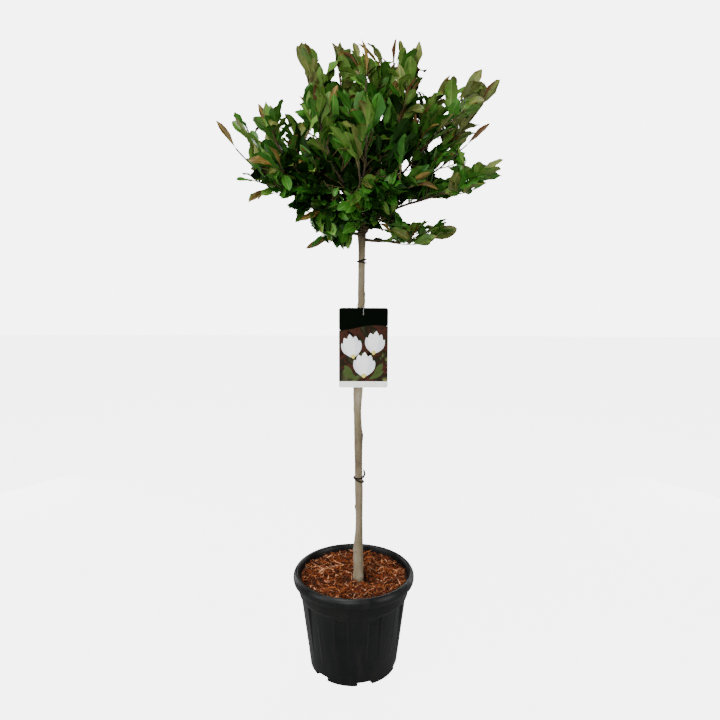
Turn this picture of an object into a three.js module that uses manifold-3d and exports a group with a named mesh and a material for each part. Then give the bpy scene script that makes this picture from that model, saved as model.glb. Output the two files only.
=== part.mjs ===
// A young star magnolia grown as a standard: a clear stem carries a round, open head of
// leafy shoots and stands in a fluted nursery pot that is topped with bark mulch.
// Millimetres. +Z is up, -Y is the front, and the origin is the centre of the pot's underside.

import * as THREE from "three";
import { mergeVertices } from "three/addons/utils/BufferGeometryUtils.js";
import Module from "manifold-3d";

// ---- Driving dimensions ----

const CLEARANCE = 0.35; // left between neighbouring pieces

const POT = {
  height: 264,
  footRadius: 117.5,
  shoulderRadius: 141.5, // of the body where the collar begins
  shoulderHeight: 200,
  collarRadius: 146.5,
  collarFlare: 2,
  rimRadius: 162,
  rimDepth: 27, // of the flared rim, top to bottom
  rimEdge: 2, // the rounding of the rim's lower edge
  rimSlope: 6, // how far the rim's top edge lies inside its widest circle
  lip: 3, // the rounding of the mouth
  mouthRadius: 148,
  wall: 5,
  floor: 6,
  sides: 36,
};
const FLUTES = { count: 10, firstAngle: -102.8, width: 33, depth: 3.8, top: 197, fade: 40 };
const NOTCHES = { count: 6, firstAngle: -74.5, width: 39, height: 11.5, depth: 14 };
const MULCH = { edgeHeight: 246, heapHeight: 230, heapRadius: 36 };

const TRUNK = { sides: 9, steps: 24, footHeight: MULCH.heapHeight + CLEARANCE, topHeight: 1243 };
// The stem's centre line leans a little and wanders: height, and how far right of the pot's centre.
const TRUNK_LINE = [
  [TRUNK.footHeight, 13],
  [331, 12],
  [380, 14],
  [470, 13.6],
  [526, 12.4],
  [600, 11.7],
  [630, 12],
  [660, 10.1],
  [700, 8.7],
  [763, 10.4],
  [860, 14],
  [967, 17.5],
  [1113, 19],
  [TRUNK.topHeight, 18],
];
// Its thickness: height, and diameter. It flares at the root, thins, swells and carries the head.
const TRUNK_GIRTH = [
  [TRUNK.footHeight, 31],
  [248, 27.5],
  [330, 26],
  [368, 19.7],
  [400, 18.5],
  [435, 19.6],
  [502, 21.6],
  [560, 19.4],
  [600, 21.8],
  [630, 23.3],
  [645, 21],
  [690, 19.1],
  [718, 21],
  [763, 25.2],
  [800, 24.5],
  [860, 19.5],
  [967, 17.5],
  [1113, 17],
  [1160, 22],
  [TRUNK.topHeight, 17],
];

const LABEL = { width: 124.5, height: 204, thick: 1.6, corner: 5.5, centreX: 23.7, top: 968.7, holeRadius: 3.4 };
const LABEL_HOLE = { x: 23.7, drop: 16 }; // the hole's centre, and how far it lies below the top edge
const STRAP = { radius: 1.2, sides: 4, steps: 30, backHeight: 981 };
const TIE = { radius: 1.85, sides: 4, steps: 12 };
// Each tie goes round twice: its turns meet at the left and part towards the right.
const UPPER_TIE = { left: 1084, rights: [1089.5, 1080.5] };
const LOWER_TIE = { left: 520, rights: [521, 508], loopTop: 541, loopBulge: 3 };

// Every shoot springs from the head and bends to its tip. az is its bearing (0 is right, 90 is
// back), reach and tip are how far out and how high its last leaf ends, foot is the height where
// it leaves the stem. Its elbow lies a share out of the reach away and elbow above the foot.
// twigs is how many side twigs it bears, gap the room between leaves along a limb, and lift how
// far the leaves turn up, or down below 0.
const HABIT = { out: 0.6, twigs: 4, gap: 27, lift: 0.4 }; // of a shoot that says nothing else
const SHOOTS = [
  { name: "left_low", az: 190, reach: 347, tip: 1409, foot: 1204, out: 0.72, elbow: 30,
    twigs: 3, gap: 17, lift: 0.3 },
  { name: "left_droop", az: 208, reach: 291, tip: 1212, foot: 1186, out: 0.66, elbow: 124,
    twigs: 3, gap: 17, lift: 0.1 },
  { name: "left_mid", az: 201, reach: 254, tip: 1437, foot: 1212, out: 0.8, elbow: 60, twigs: 5, lift: 0.5 },
  { name: "left_top", az: 176, reach: 150, tip: 1606, foot: 1228, out: 0.75, elbow: 148 },
  { name: "centre_left_top", az: 138, reach: 91, tip: 1624, foot: 1240, elbow: 160, lift: 0.3 },
  { name: "centre_right_top", az: -80, reach: 61, tip: 1588, foot: 1240, out: 0.8, elbow: 160, lift: 0.3 },
  { name: "right_top", az: 30, reach: 101, tip: 1630, foot: 1240, out: 0.7, elbow: 167, lift: 0.3 },
  { name: "right_crest", az: -24, reach: 149, tip: 1583, foot: 1232, out: 0.7, elbow: 150, lift: 0.3 },
  { name: "right_inner", az: 5, reach: 211, tip: 1535, foot: 1222, elbow: 130 },
  { name: "right_upper", az: -11, reach: 283, tip: 1528, foot: 1212, out: 0.55, elbow: 116 },
  { name: "right_far", az: 14, reach: 362, tip: 1546, foot: 1204, elbow: 122, twigs: 3, lift: 0.3 },
  { name: "right_mid", az: 2, reach: 314, tip: 1421, foot: 1184, elbow: 112, twigs: 3 },
  { name: "right_low", az: -30, reach: 354, tip: 1301, foot: 1194, out: 0.8, elbow: 46,
    twigs: 2, gap: 17, lift: 1.1 },
  { name: "right_spur", az: -5, reach: 236, tip: 1166, foot: 1138, out: 0.7, elbow: -18,
    twigs: 1, gap: 17, lift: 1 },
  { name: "front_right", az: -52, reach: 236, tip: 1270, foot: 1174, elbow: 92, lift: 0.6 },
  { name: "front_mid", az: -92, reach: 272, tip: 1330, foot: 1200, elbow: 56, lift: 0.2 },
  { name: "front_left", az: -128, reach: 176, tip: 1472, foot: 1222, out: 0.8, elbow: 62 },
  { name: "front_centre", az: -86, reach: 180, tip: 1441, foot: 1229, out: 0.75, elbow: 63 },
  { name: "front_low", az: -132, reach: 206, tip: 1172, foot: 1164, elbow: 70, lift: -0.2 },
  { name: "front_under", az: -68, reach: 178, tip: 1148, foot: 1148, elbow: 44, lift: -0.4 },
  { name: "left_under", az: 187, reach: 141, tip: 1116, foot: 1152, elbow: 4, twigs: 2, lift: -0.2 },
  { name: "back_left", az: 150, reach: 300, tip: 1432, foot: 1214, elbow: 64 },
  { name: "back_mid", az: 98, reach: 292, tip: 1470, foot: 1210, elbow: 90 },
  { name: "back_right", az: 50, reach: 300, tip: 1440, foot: 1190, elbow: 80 },
  { name: "back_low_left", az: 122, reach: 256, tip: 1240, foot: 1180, elbow: 50, lift: 0 },
  { name: "back_low_right", az: 66, reach: 262, tip: 1256, foot: 1166, elbow: 60, lift: 0 },
];
const BOUGH = { length: 62, inset: 0.6, footRadius: 3.9, tipRadius: 3.1, sides: 5, steps: 2 };
const STEM = { tipRadius: 2, steps: 4 };
const TWIG = { length: 88, spread: 48, lift: 0.45, footRadius: 2.6, tipRadius: 1.7 };
const LEAF = {
  length: 80,
  width: 38,
  thick: 2.4,
  widest: 0.62, // where it is widest, as a share of its length
  ridge: 0.3, // where its keel is highest
  cup: 0.14, // how far its edges turn up, as a share of its width
  droop: 0.06, // how far its tip hangs, as a share of its length
  spread: 56, // its angle to the limb at the limb's foot
  closing: 0.35, // the share of that angle lost towards the limb's tip
  tipSpread: 4, // the angle of a twig's last leaf
  roll: 150,
  sunk: 1, // how far its root lies inside the limb
};
const LEAF_SIZE = { foot: 0.8, gain: 0.25, onTwig: 0.92 }; // at a limb's foot, gained by its tip, on a twig
const LEAVES_FROM = { stem: 0.04, twig: 0.3 }; // the share of a limb below its first leaf
const TWIGS_FROM = 0.05;
const TWIGS_OVER = 0.78; // the share of the stem that bears twigs
const CROWDING = 0.85; // below 1, leaves stand closer together towards a limb's tip
const TOLERANCE = 0.25; // facets of a mass within this of each other are joined
const OWN_SPACE_SLACK = 16; // a leaf may lie this much nearer to the next shoot than to its own
const LEAF_GAP = 0.45; // a leaf or twig keeps this clear of other limbs and other masses
const TRIES = 9; // ways that a leaf or twig is turned before it is skipped
const GOLDEN_ANGLE = 137.5;
const SEED = 90417;

// ---- Finishes ----

const finish = (color, roughness) => new THREE.MeshStandardMaterial({ color, roughness, metalness: 0 });
const POT_PLASTIC = finish(0x1b1e20, 0.42);
const MULCH_BARK = finish(0x8a4526, 0.95);
const STEM_BARK = finish(0x9a8b76, 0.85);
const BOUGH_BARK = finish(0x6d5b48, 0.85);
const LEAF_GREEN = finish(0x3f6a24, 0.5);
const LABEL_CARD = finish(0x2c3324, 0.35);
const TIE_RUBBER = finish(0x2a1f1a, 0.6);
const STRAP_PLASTIC = finish(0xb9bcb8, 0.5);

// ---- Solids ----

const wasm = await Module();
wasm.setup();
const { Manifold, Mesh: SolidMesh } = wasm;
const radians = THREE.MathUtils.degToRad;
const UP = new THREE.Vector3(0, 0, 1);

/** Six times the volume inside a triangle mesh, below zero where its faces point inwards. */
function signedVolume(places, triangles) {
  const corner = (index) => new THREE.Vector3().fromArray(places, 3 * index);
  let total = 0;
  for (let t = 0; t < triangles.length; t += 3) {
    const [a, b, c] = [0, 1, 2].map((k) => corner(triangles[t + k]));
    total += a.dot(b.cross(c));
  }
  return total;
}

/** A closed three.js geometry as a solid: shared corners merged and faces turned outwards. */
function toSolid(geometry) {
  const bare = geometry.clone();
  bare.deleteAttribute("normal");
  bare.deleteAttribute("uv");
  const merged = mergeVertices(bare, 1e-4);
  const places = merged.attributes.position.array;
  const index = merged.index.array;
  const triangles = [];
  for (let t = 0; t < index.length; t += 3) {
    const [a, b, c] = [index[t], index[t + 1], index[t + 2]];
    if (a !== b && b !== c && c !== a) triangles.push(a, b, c);
  }
  if (signedVolume(places, triangles) < 0) triangles.reverse();
  const vertProperties = new Float32Array(places);
  return new Manifold(new SolidMesh({ numProp: 3, vertProperties, triVerts: new Uint32Array(triangles) }));
}

/** The biggest of a solid's bodies, which leaves out loose scraps and fills sealed hollows. */
function mainBody(solid) {
  return solid.decompose().reduce((best, body) => (body.volume() > best.volume() ? body : best));
}

/** A solid as a named mesh. */
function toMesh(name, solid, material) {
  const { vertProperties, triVerts } = solid.getMesh();
  const geometry = new THREE.BufferGeometry();
  geometry.setAttribute("position", new THREE.BufferAttribute(vertProperties, 3));
  geometry.setIndex(new THREE.BufferAttribute(triVerts, 1));
  const mesh = new THREE.Mesh(geometry, material);
  mesh.name = name;
  return mesh;
}

/** A round limb: a cylinder whose rings are carried to a curve's frames and given their radius. */
function limb(curve, radiusAt, sides, steps) {
  const geometry = new THREE.CylinderGeometry(1, 1, 1, sides, steps);
  const frames = curve.computeFrenetFrames(steps, false);
  const place = geometry.attributes.position;
  for (let i = 0; i < place.count; i++) {
    const ring = Math.round((place.getY(i) + 0.5) * steps);
    const radius = radiusAt(ring / steps);
    const point = curve.getPointAt(ring / steps);
    point.addScaledVector(frames.normals[ring], place.getX(i) * radius);
    point.addScaledVector(frames.binormals[ring], place.getZ(i) * radius);
    place.setXYZ(i, point.x, point.y, point.z);
  }
  return toSolid(geometry);
}

/** A closed hoop: a torus whose rings are carried to a closed curve's frames. */
function hoop(curve, radius, sides, steps) {
  const geometry = new THREE.TorusGeometry(2, 1, sides, steps);
  const frames = curve.computeFrenetFrames(steps, true);
  const place = geometry.attributes.position;
  for (let i = 0; i < place.count; i++) {
    const [x, y, z] = [place.getX(i), place.getY(i), place.getZ(i)];
    const turn = (Math.atan2(y, x) / (2 * Math.PI) + 1) % 1;
    const ring = Math.round(turn * steps) % steps;
    const point = curve.getPointAt(ring / steps);
    point.addScaledVector(frames.normals[ring], (Math.hypot(x, y) - 2) * radius);
    point.addScaledVector(frames.binormals[ring], z * radius);
    place.setXYZ(i, point.x, point.y, point.z);
  }
  return toSolid(geometry);
}

/** A solid of revolution about +Z from a profile of [radius, height] pairs. */
function turned(profile, sides) {
  const geometry = new THREE.LatheGeometry(
    profile.map(([radius, height]) => new THREE.Vector2(radius, height)),
    sides,
  );
  return toSolid(geometry.rotateX(Math.PI / 2));
}

/** A value read off a list of [place, value] pairs, straight between neighbours. */
function readOff(pairs, place) {
  const last = pairs.length - 1;
  const next = Math.min(last, Math.max(1, pairs.findIndex(([at]) => at >= place)));
  const [[x0, y0], [x1, y1]] = [pairs[next - 1], pairs[next]];
  return THREE.MathUtils.mapLinear(THREE.MathUtils.clamp(place, x0, x1), x0, x1, y0, y1);
}

// ---- Pot and mulch ----

const bodySlope = (POT.shoulderRadius - POT.footRadius) / POT.shoulderHeight;
const innerShoulder = POT.shoulderRadius - POT.wall;
const innerFoot = POT.footRadius - POT.wall + bodySlope * POT.floor;
const MOUTH_LINE = [
  [POT.floor, innerFoot],
  [POT.shoulderHeight, innerShoulder],
  [POT.height - POT.lip, POT.mouthRadius],
];

/** One box for each of a ring of cuts, its inner face at a radius and leaning out by a slope. */
function ringOfCuts({ count, firstAngle, width }, bottom, top, radius, slope) {
  const thick = 20;
  return Array.from({ length: count }, (_, i) => {
    const box = new THREE.BoxGeometry(thick, width, top - bottom);
    const place = box.attributes.position;
    for (let k = 0; k < place.count; k++) {
      const climb = place.getZ(k) + (top - bottom) / 2;
      place.setXYZ(k, place.getX(k) + thick / 2 + radius + slope * climb, place.getY(k), bottom + climb);
    }
    return toSolid(box.rotateZ(radians(firstAngle + (360 * i) / count)));
  });
}

function pot() {
  const rimBottom = POT.height - POT.rimDepth;
  const body = turned(
    [
      [0, 0],
      [POT.footRadius, 0],
      [POT.shoulderRadius, POT.shoulderHeight],
      [POT.collarRadius, POT.shoulderHeight + POT.collarFlare],
      [POT.collarRadius + POT.collarFlare, rimBottom + POT.rimEdge / 2],
      [POT.rimRadius - POT.rimEdge, rimBottom],
      [POT.rimRadius, rimBottom + 2.5 * POT.rimEdge],
      [POT.rimRadius - 1, POT.height - 2 * POT.rimSlope],
      [POT.rimRadius - POT.rimSlope, POT.height - POT.lip],
      [POT.mouthRadius + POT.lip, POT.height],
      [POT.mouthRadius, POT.height - POT.lip],
      [innerShoulder, POT.shoulderHeight],
      [innerFoot, POT.floor],
      [0, POT.floor],
    ],
    POT.sides,
  );
  const radiusAt = (height) => POT.footRadius + bodySlope * height;
  const fluteBack = radiusAt(FLUTES.top) - FLUTES.depth;
  const fluteSlope = (fluteBack - radiusAt(FLUTES.fade)) / (FLUTES.top - FLUTES.fade);
  const flutes = ringOfCuts(FLUTES, FLUTES.fade, FLUTES.top, radiusAt(FLUTES.fade), fluteSlope);
  const notches = ringOfCuts(NOTCHES, -5, NOTCHES.height, POT.footRadius - NOTCHES.depth, 0);
  return [...flutes, ...notches].reduce((solid, cut) => solid.subtract(cut), body);
}

/** The compost and its mulch as one filling, clear of the pot's floor and wall. */
function mulch() {
  const wallRadius = (height) => readOff(MOUTH_LINE, height) - CLEARANCE;
  return turned(
    [
      [0, POT.floor + CLEARANCE],
      [innerFoot - CLEARANCE, POT.floor + CLEARANCE],
      [wallRadius(POT.shoulderHeight), POT.shoulderHeight],
      [wallRadius(MULCH.edgeHeight), MULCH.edgeHeight],
      [POT.mouthRadius * 0.6, MULCH.edgeHeight],
      [MULCH.heapRadius, MULCH.heapHeight],
      [0, MULCH.heapHeight],
    ],
    POT.sides,
  );
}

// ---- Trunk ----

const trunkCurve = new THREE.CatmullRomCurve3(
  TRUNK_LINE.map(([height, x]) => new THREE.Vector3(x, 0, height)),
  false,
  "centripetal",
);
const trunkX = (height) => readOff(TRUNK_LINE, height);
const trunkRadius = (height) => readOff(TRUNK_GIRTH, height) / 2;

/** The trunk, or the space that it needs when grown by a margin on every side. */
function trunk(margin) {
  const radiusAt = (t) => trunkRadius(trunkCurve.getPointAt(t).z) + margin;
  return limb(trunkCurve, radiusAt, TRUNK.sides, TRUNK.steps).translate([0, 0, margin]);
}

// ---- Label and ties ----

const labelBack = -(trunkRadius(860) + 3.4); // the card hangs just in front of the stem's swelling
const labelFront = labelBack - LABEL.thick;
const holeHeight = LABEL.top - LABEL_HOLE.drop;

function label() {
  const [halfWidth, round] = [LABEL.width / 2, LABEL.corner];
  const [left, right] = [LABEL.centreX - halfWidth, LABEL.centreX + halfWidth];
  const bottom = LABEL.top - LABEL.height;
  const card = new THREE.Shape();
  card.absarc(right - round, LABEL.top - round, round, 0, Math.PI / 2);
  card.absarc(left + round, LABEL.top - round, round, Math.PI / 2, Math.PI);
  card.absarc(left + round, bottom + round, round, Math.PI, 1.5 * Math.PI);
  card.absarc(right - round, bottom + round, round, 1.5 * Math.PI, 2 * Math.PI);
  const hole = new THREE.Path();
  hole.absarc(LABEL_HOLE.x, holeHeight, LABEL.holeRadius, 0, 2 * Math.PI);
  card.holes.push(hole);
  const plate = new THREE.ExtrudeGeometry(card, {
    depth: LABEL.thick,
    bevelEnabled: false,
    curveSegments: 3,
  });
  return toSolid(plate.rotateX(Math.PI / 2).translate(0, labelBack, 0));
}

/** The strap: round the back of the stem, over the card's top edge and back through its hole. */
function strap() {
  const wrap = trunkRadius(STRAP.backHeight) + STRAP.radius + CLEARANCE + 1;
  const centre = trunkX(STRAP.backHeight);
  const off = STRAP.radius + CLEARANCE + 0.7;
  const across = (turn, height) => [centre + wrap * Math.cos(turn), wrap * Math.sin(turn), height];
  const route = [
    across(radians(90), STRAP.backHeight),
    across(radians(150), STRAP.backHeight),
    across(radians(210), STRAP.backHeight),
    [LABEL_HOLE.x - 3, labelBack, LABEL.top + off + 2.5],
    [LABEL_HOLE.x, labelFront - off, LABEL.top - 1],
    [LABEL_HOLE.x, labelFront - off, holeHeight + 3],
    [LABEL_HOLE.x, (labelBack + labelFront) / 2, holeHeight],
    [LABEL_HOLE.x + 0.5, labelBack + off, holeHeight + 4],
    across(radians(-28), STRAP.backHeight - 12),
    across(radians(30), STRAP.backHeight - 5),
  ].map((point) => new THREE.Vector3(...point));
  return hoop(new THREE.CatmullRomCurve3(route, true), STRAP.radius, STRAP.sides, STRAP.steps);
}

const tieReach = (height) => trunkRadius(height) + TIE.radius + CLEARANCE + 0.5;

/** Rings of tie tube snug round the stem, each level with the others at the left only. */
function tieRings({ left, rights }) {
  return rights.map((right) => {
    const height = (left + right) / 2;
    const reach = tieReach(height);
    const climb = new THREE.Matrix4().makeShear(0, (right - left) / (2 * reach), 0, 0, 0, 0);
    const ring = new THREE.TorusGeometry(reach, TIE.radius, TIE.sides, TIE.steps);
    return toSolid(ring.applyMatrix4(climb).translate(trunkX(height), 0, height));
  });
}

/** The lower tie: its turns, and a loop of slack tube that bulges from the upper one's right end. */
function lowerTie() {
  const { rights, loopTop, loopBulge } = LOWER_TIE;
  const edge = trunkX(rights[0]) + tieReach(rights[0]);
  const loopCurve = new THREE.QuadraticBezierCurve3(
    new THREE.Vector3(edge, 0, rights[0]),
    new THREE.Vector3(edge + loopBulge, -1, (rights[0] + loopTop) / 2),
    new THREE.Vector3(edge, 2, loopTop),
  );
  return Manifold.union([...tieRings(LOWER_TIE), limb(loopCurve, () => TIE.radius, TIE.sides, 4)]);
}

// ---- Crown ----

/** Even random numbers from 0 to 1, the same for the same seed. */
function makeRandom(seed) {
  let state = seed >>> 0;
  return () => {
    state = (Math.imul(state, 1664525) + 1013904223) >>> 0;
    return state / 4294967296;
  };
}

/** The part of a curve between two shares of its length. */
class Stretch extends THREE.Curve {
  constructor(whole, from, to) {
    super();
    Object.assign(this, { whole, from, to });
  }
  getPoint(t, target = new THREE.Vector3()) {
    return target.copy(this.whole.getPointAt(THREE.MathUtils.lerp(this.from, this.to, t)));
  }
}

/** The curve of a shoot, from inside its own side of the stem by its elbow to its last leaf's tip. */
function shootCurve({ az, reach, tip, foot, out, elbow }) {
  const bearing = new THREE.Vector3(Math.cos(radians(az)), Math.sin(radians(az)), 0);
  const place = (height, distance) =>
    new THREE.Vector3(trunkX(foot), 0, height).addScaledVector(bearing, distance);
  const start = place(foot, BOUGH.inset * trunkRadius(foot));
  return new THREE.QuadraticBezierCurve3(start, place(foot + elbow, reach * out), place(tip, reach));
}

/** A direction square to a line, level where it can be, turned by an angle round the line. */
function squareTo(line, angle) {
  const other = Math.abs(line.z) > 0.96 ? new THREE.Vector3(0, 1, 0) : UP;
  return new THREE.Vector3().crossVectors(line, other).normalize().applyAxisAngle(line, radians(angle));
}

/** A direction turned away from a line by a spread, at a bearing round it, and lifted. */
function branchOff(line, spread, bearing, lift) {
  const direction = line.clone().multiplyScalar(Math.cos(radians(spread)));
  direction.addScaledVector(squareTo(line, bearing), Math.sin(radians(spread)));
  direction.z += lift;
  return direction.normalize();
}

/** A leaf: an octahedron drawn out to a keeled kite, widest past its middle, tip bent down. */
function leafBlade(root, direction, roll, length, width) {
  const across = squareTo(direction, roll);
  const face = new THREE.Vector3().crossVectors(across, direction);
  const geometry = new THREE.OctahedronGeometry(1);
  const place = geometry.attributes.position;
  for (let i = 0; i < place.count; i++) {
    const [x, y, z] = [place.getX(i), place.getY(i), place.getZ(i)].map(Math.round);
    const along = [0, x !== 0 ? LEAF.widest : LEAF.ridge, 1][y + 1];
    const rise = [0, x !== 0 ? LEAF.cup * width : 0, -LEAF.droop * length][y + 1];
    const point = root.clone().addScaledVector(direction, along * length);
    point.addScaledVector(across, (x * width) / 2).addScaledVector(face, rise + (z * LEAF.thick) / 2);
    place.setXYZ(i, point.x, point.y, point.z);
  }
  return toSolid(geometry);
}

/** A shoot with its curve, its bough and the stem of its mass, which starts just off the bough. */
function startShoot(sizes, number) {
  const curve = shootCurve(sizes);
  const length = curve.getLength();
  const boughShare = Math.min(BOUGH.length, 0.4 * length) / length;
  const boughCurve = new Stretch(curve, 0, boughShare);
  const stemCurve = new Stretch(curve, boughShare + CLEARANCE / length, 1 - (0.9 * LEAF.length) / length);
  const boughRadius = (t) => THREE.MathUtils.lerp(BOUGH.footRadius, BOUGH.tipRadius, t);
  const stemRadius = (t) => THREE.MathUtils.lerp(BOUGH.tipRadius, STEM.tipRadius, t);
  const bough = limb(boughCurve, boughRadius, BOUGH.sides, BOUGH.steps).subtract(trunkSpace);
  return {
    ...sizes,
    bough: mainBody(bough),
    stemCurve,
    line: curve.getSpacedPoints(14),
    axisX: trunkX(sizes.foot),
    end: curve.getPointAt(1),
    heading: curve.getTangentAt(1),
    solids: [limb(stemCurve, stemRadius, 3, STEM.steps)],
    random: makeRandom(SEED + 7 * number),
  };
}

const trunkSpace = trunk(CLEARANCE);
const trunkSolid = trunk(0);
const shoots = SHOOTS.map((own, number) => startShoot({ ...HABIT, ...own }, number));
const limbs = [trunkSolid, ...shoots.map((shoot) => shoot.bough)];

/** The distance from a point to the line of a shoot. */
function distanceTo(shoot, point) {
  return Math.sqrt(Math.min(...shoot.line.map((place) => place.distanceToSquared(point))));
}

/** Whether two solids lie closer than a gap. */
function crowds(a, b, gap) {
  const [boxA, boxB] = [a.boundingBox(), b.boundingBox()];
  const apart = [0, 1, 2].some((k) => boxA.min[k] > boxB.max[k] + gap || boxB.min[k] > boxA.max[k] + gap);
  return !apart && a.minGap(b, 2 * gap) < gap;
}

/** Whether a new piece keeps to its mass's space and touches nothing but the limb that bears it. */
function fits(piece, points, shoot, bearer) {
  const inside = points.every((point) => {
    const beyondTip = point.clone().sub(shoot.end).dot(shoot.heading) > 1;
    if (beyondTip || Math.hypot(point.x - shoot.axisX, point.y) > shoot.reach + 1) return false;
    const own = distanceTo(shoot, point) - OWN_SPACE_SLACK;
    return shoots.every((other) => other === shoot || distanceTo(other, point) > own);
  });
  if (!inside) return false;
  const others = shoots.filter((other) => other !== shoot).flatMap((other) => other.solids);
  if ([...limbs, ...others].some((solid) => crowds(piece, solid, LEAF_GAP))) return false;
  return !shoot.solids.some((solid) => solid !== bearer && crowds(piece, solid, 0.05));
}

/** Grows a leaf from a place on a limb, turned until it fits, or none. */
function growLeaf(shoot, { curve, solid }, t, bearing, spread, size) {
  const { random } = shoot;
  const [place, line] = [curve.getPointAt(t), curve.getTangentAt(t)];
  for (let attempt = 0; attempt < TRIES; attempt++) {
    const length = LEAF.length * size * (0.85 + 0.3 * random());
    const lift = shoot.lift * (spread / LEAF.spread) * (0.5 + random());
    const direction = branchOff(line, spread + 16 * (random() - 0.5), bearing + 47 * attempt, lift);
    const root = place.clone().addScaledVector(direction, -LEAF.sunk);
    const blade = leafBlade(root, direction, LEAF.roll * (random() - 0.5), length, LEAF.width * size);
    const points = [LEAF.widest, 1].map((share) => root.clone().addScaledVector(direction, share * length));
    if (fits(blade, points, shoot, solid)) {
      shoot.solids.push(blade);
      return;
    }
  }
}

/** The last leaf of a shoot, which runs on from its stem to the shoot's own tip. */
function growTip(shoot) {
  const root = shoot.stemCurve.getPointAt(1);
  const direction = shoot.end.clone().sub(root).normalize();
  root.addScaledVector(direction, -LEAF.sunk);
  const blade = leafBlade(root, direction, 90 * shoot.random(), root.distanceTo(shoot.end), LEAF.width);
  shoot.solids.push(blade);
}

/** Leaves along a limb by the golden angle, closer towards its tip, where the last points on. */
function growLeaves(shoot, bearer, from, size) {
  const count = Math.max(2, Math.round((bearer.curve.getLength() * (1 - from)) / shoot.gap));
  const last = bearer === shoot.stem ? count - 1 : count;
  let bearing = 360 * shoot.random();
  for (let i = last; i >= 0; i--) {
    const t = from + (1 - from) * (i / count) ** CROWDING;
    const spread = i === count ? LEAF.tipSpread : LEAF.spread * (1 - LEAF.closing * t);
    growLeaf(shoot, bearer, t, bearing, spread, size * (LEAF_SIZE.foot + LEAF_SIZE.gain * t));
    bearing += GOLDEN_ANGLE;
  }
}

/** A side twig from a place on the stem of a mass, turned until it fits, or none. */
function growTwig(shoot, t, bearing) {
  const { random, stem } = shoot;
  const [root, line] = [stem.curve.getPointAt(t), stem.curve.getTangentAt(t)];
  for (let attempt = 0; attempt < TRIES; attempt++) {
    const length = TWIG.length * (0.8 + 0.4 * random()) * (1.1 - 0.45 * t);
    const direction = branchOff(line, TWIG.spread, bearing + 40 * attempt, TWIG.lift);
    const tip = root.clone().addScaledVector(direction, length);
    const curve = new THREE.LineCurve3(root, tip);
    const radiusAt = (s) => THREE.MathUtils.lerp(TWIG.footRadius, TWIG.tipRadius, s);
    const solid = limb(curve, radiusAt, 3, 1);
    if (fits(solid, [tip], shoot, stem.solid)) {
      shoot.solids.push(solid);
      return [{ curve, solid }];
    }
  }
  return [];
}

for (const shoot of shoots) {
  shoot.stem = { curve: shoot.stemCurve, solid: shoot.solids[0] };
  growTip(shoot);
}
for (const shoot of shoots) {
  const start = 360 * shoot.random();
  shoot.twigList = Array.from({ length: shoot.twigs }, (_, i) =>
    growTwig(shoot, TWIGS_FROM + (TWIGS_OVER * (i + 0.4)) / shoot.twigs, start + GOLDEN_ANGLE * i),
  ).flat();
}
for (const shoot of shoots) {
  growLeaves(shoot, shoot.stem, LEAVES_FROM.stem, 1);
  for (const twig of shoot.twigList) growLeaves(shoot, twig, LEAVES_FROM.twig, LEAF_SIZE.onTwig);
}

// ---- Assembly ----

const magnolia = new THREE.Group();
magnolia.add(
  toMesh("pot", pot(), POT_PLASTIC),
  toMesh("mulch", mulch(), MULCH_BARK),
  toMesh("trunk", trunkSolid, STEM_BARK),
  toMesh("label", label(), LABEL_CARD),
  toMesh("label_strap", strap(), STRAP_PLASTIC),
  toMesh("upper_tie", Manifold.union(tieRings(UPPER_TIE)), TIE_RUBBER),
  toMesh("lower_tie", lowerTie(), TIE_RUBBER),
);
for (const { name, bough, solids } of shoots) {
  const mass = mainBody(Manifold.union(solids)).simplify(TOLERANCE);
  magnolia.add(toMesh(`bough_${name}`, bough, BOUGH_BARK), toMesh(`leaves_${name}`, mass, LEAF_GREEN));
}

export default magnolia;
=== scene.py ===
"""A young star magnolia on a clear stem, in a fluted nursery pot that is topped with bark mulch.

The functions work in millimetres, in the frame's own axes (+Z up, -Y the front), with angles in
degrees. build() turns every shape into metres. A limb is an array of evenly spaced points along its
middle, from its foot to its tip.
"""

import bpy
import numpy as np
from mathutils import Matrix


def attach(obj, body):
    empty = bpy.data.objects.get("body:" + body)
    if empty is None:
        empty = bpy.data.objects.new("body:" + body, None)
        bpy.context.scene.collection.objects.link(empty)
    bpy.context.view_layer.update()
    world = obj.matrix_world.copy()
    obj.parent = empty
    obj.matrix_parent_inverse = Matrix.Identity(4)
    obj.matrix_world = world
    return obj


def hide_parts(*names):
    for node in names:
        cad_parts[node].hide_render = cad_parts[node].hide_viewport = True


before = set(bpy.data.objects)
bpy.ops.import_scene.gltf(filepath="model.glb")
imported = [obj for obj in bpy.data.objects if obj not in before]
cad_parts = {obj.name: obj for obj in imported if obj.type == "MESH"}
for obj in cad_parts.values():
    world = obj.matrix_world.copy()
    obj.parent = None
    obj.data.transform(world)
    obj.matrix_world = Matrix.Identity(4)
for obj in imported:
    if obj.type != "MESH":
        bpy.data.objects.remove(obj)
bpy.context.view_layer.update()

METRES = 0.001
UP = np.array([0.0, 0.0, 1.0])
GOLDEN_ANGLE = 137.5
dice = np.random.default_rng(1039)  # for the crown
strewing = np.random.default_rng(3301)  # for the mulch


# ---- Eye, floor and light ----

EYE = (15.1, -1526.5, 1048.5)
EYE_TILT = 8.007  # down from level
EYE_ROLL = 0.19
EYE_LENS = 29.94
SENSOR = 36
PICTURE = 720
SKY_LIGHT = 0.05
SKY_SEEN = 6.2
FLOOR_SEEN = 5.2


def eye_axes():
    """The eye's right, its up, and the way it looks: along +Y, tilted down, then rolled."""
    tilt, roll = np.radians([EYE_TILT, EYE_ROLL])
    right = np.array([1.0, 0.0, 0.0])
    up = np.array([0.0, np.sin(tilt), np.cos(tilt)])
    ahead = np.array([0.0, np.cos(tilt), -np.sin(tilt)])
    return np.cos(roll) * right + np.sin(roll) * up, np.cos(roll) * up - np.sin(roll) * right, ahead


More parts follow.
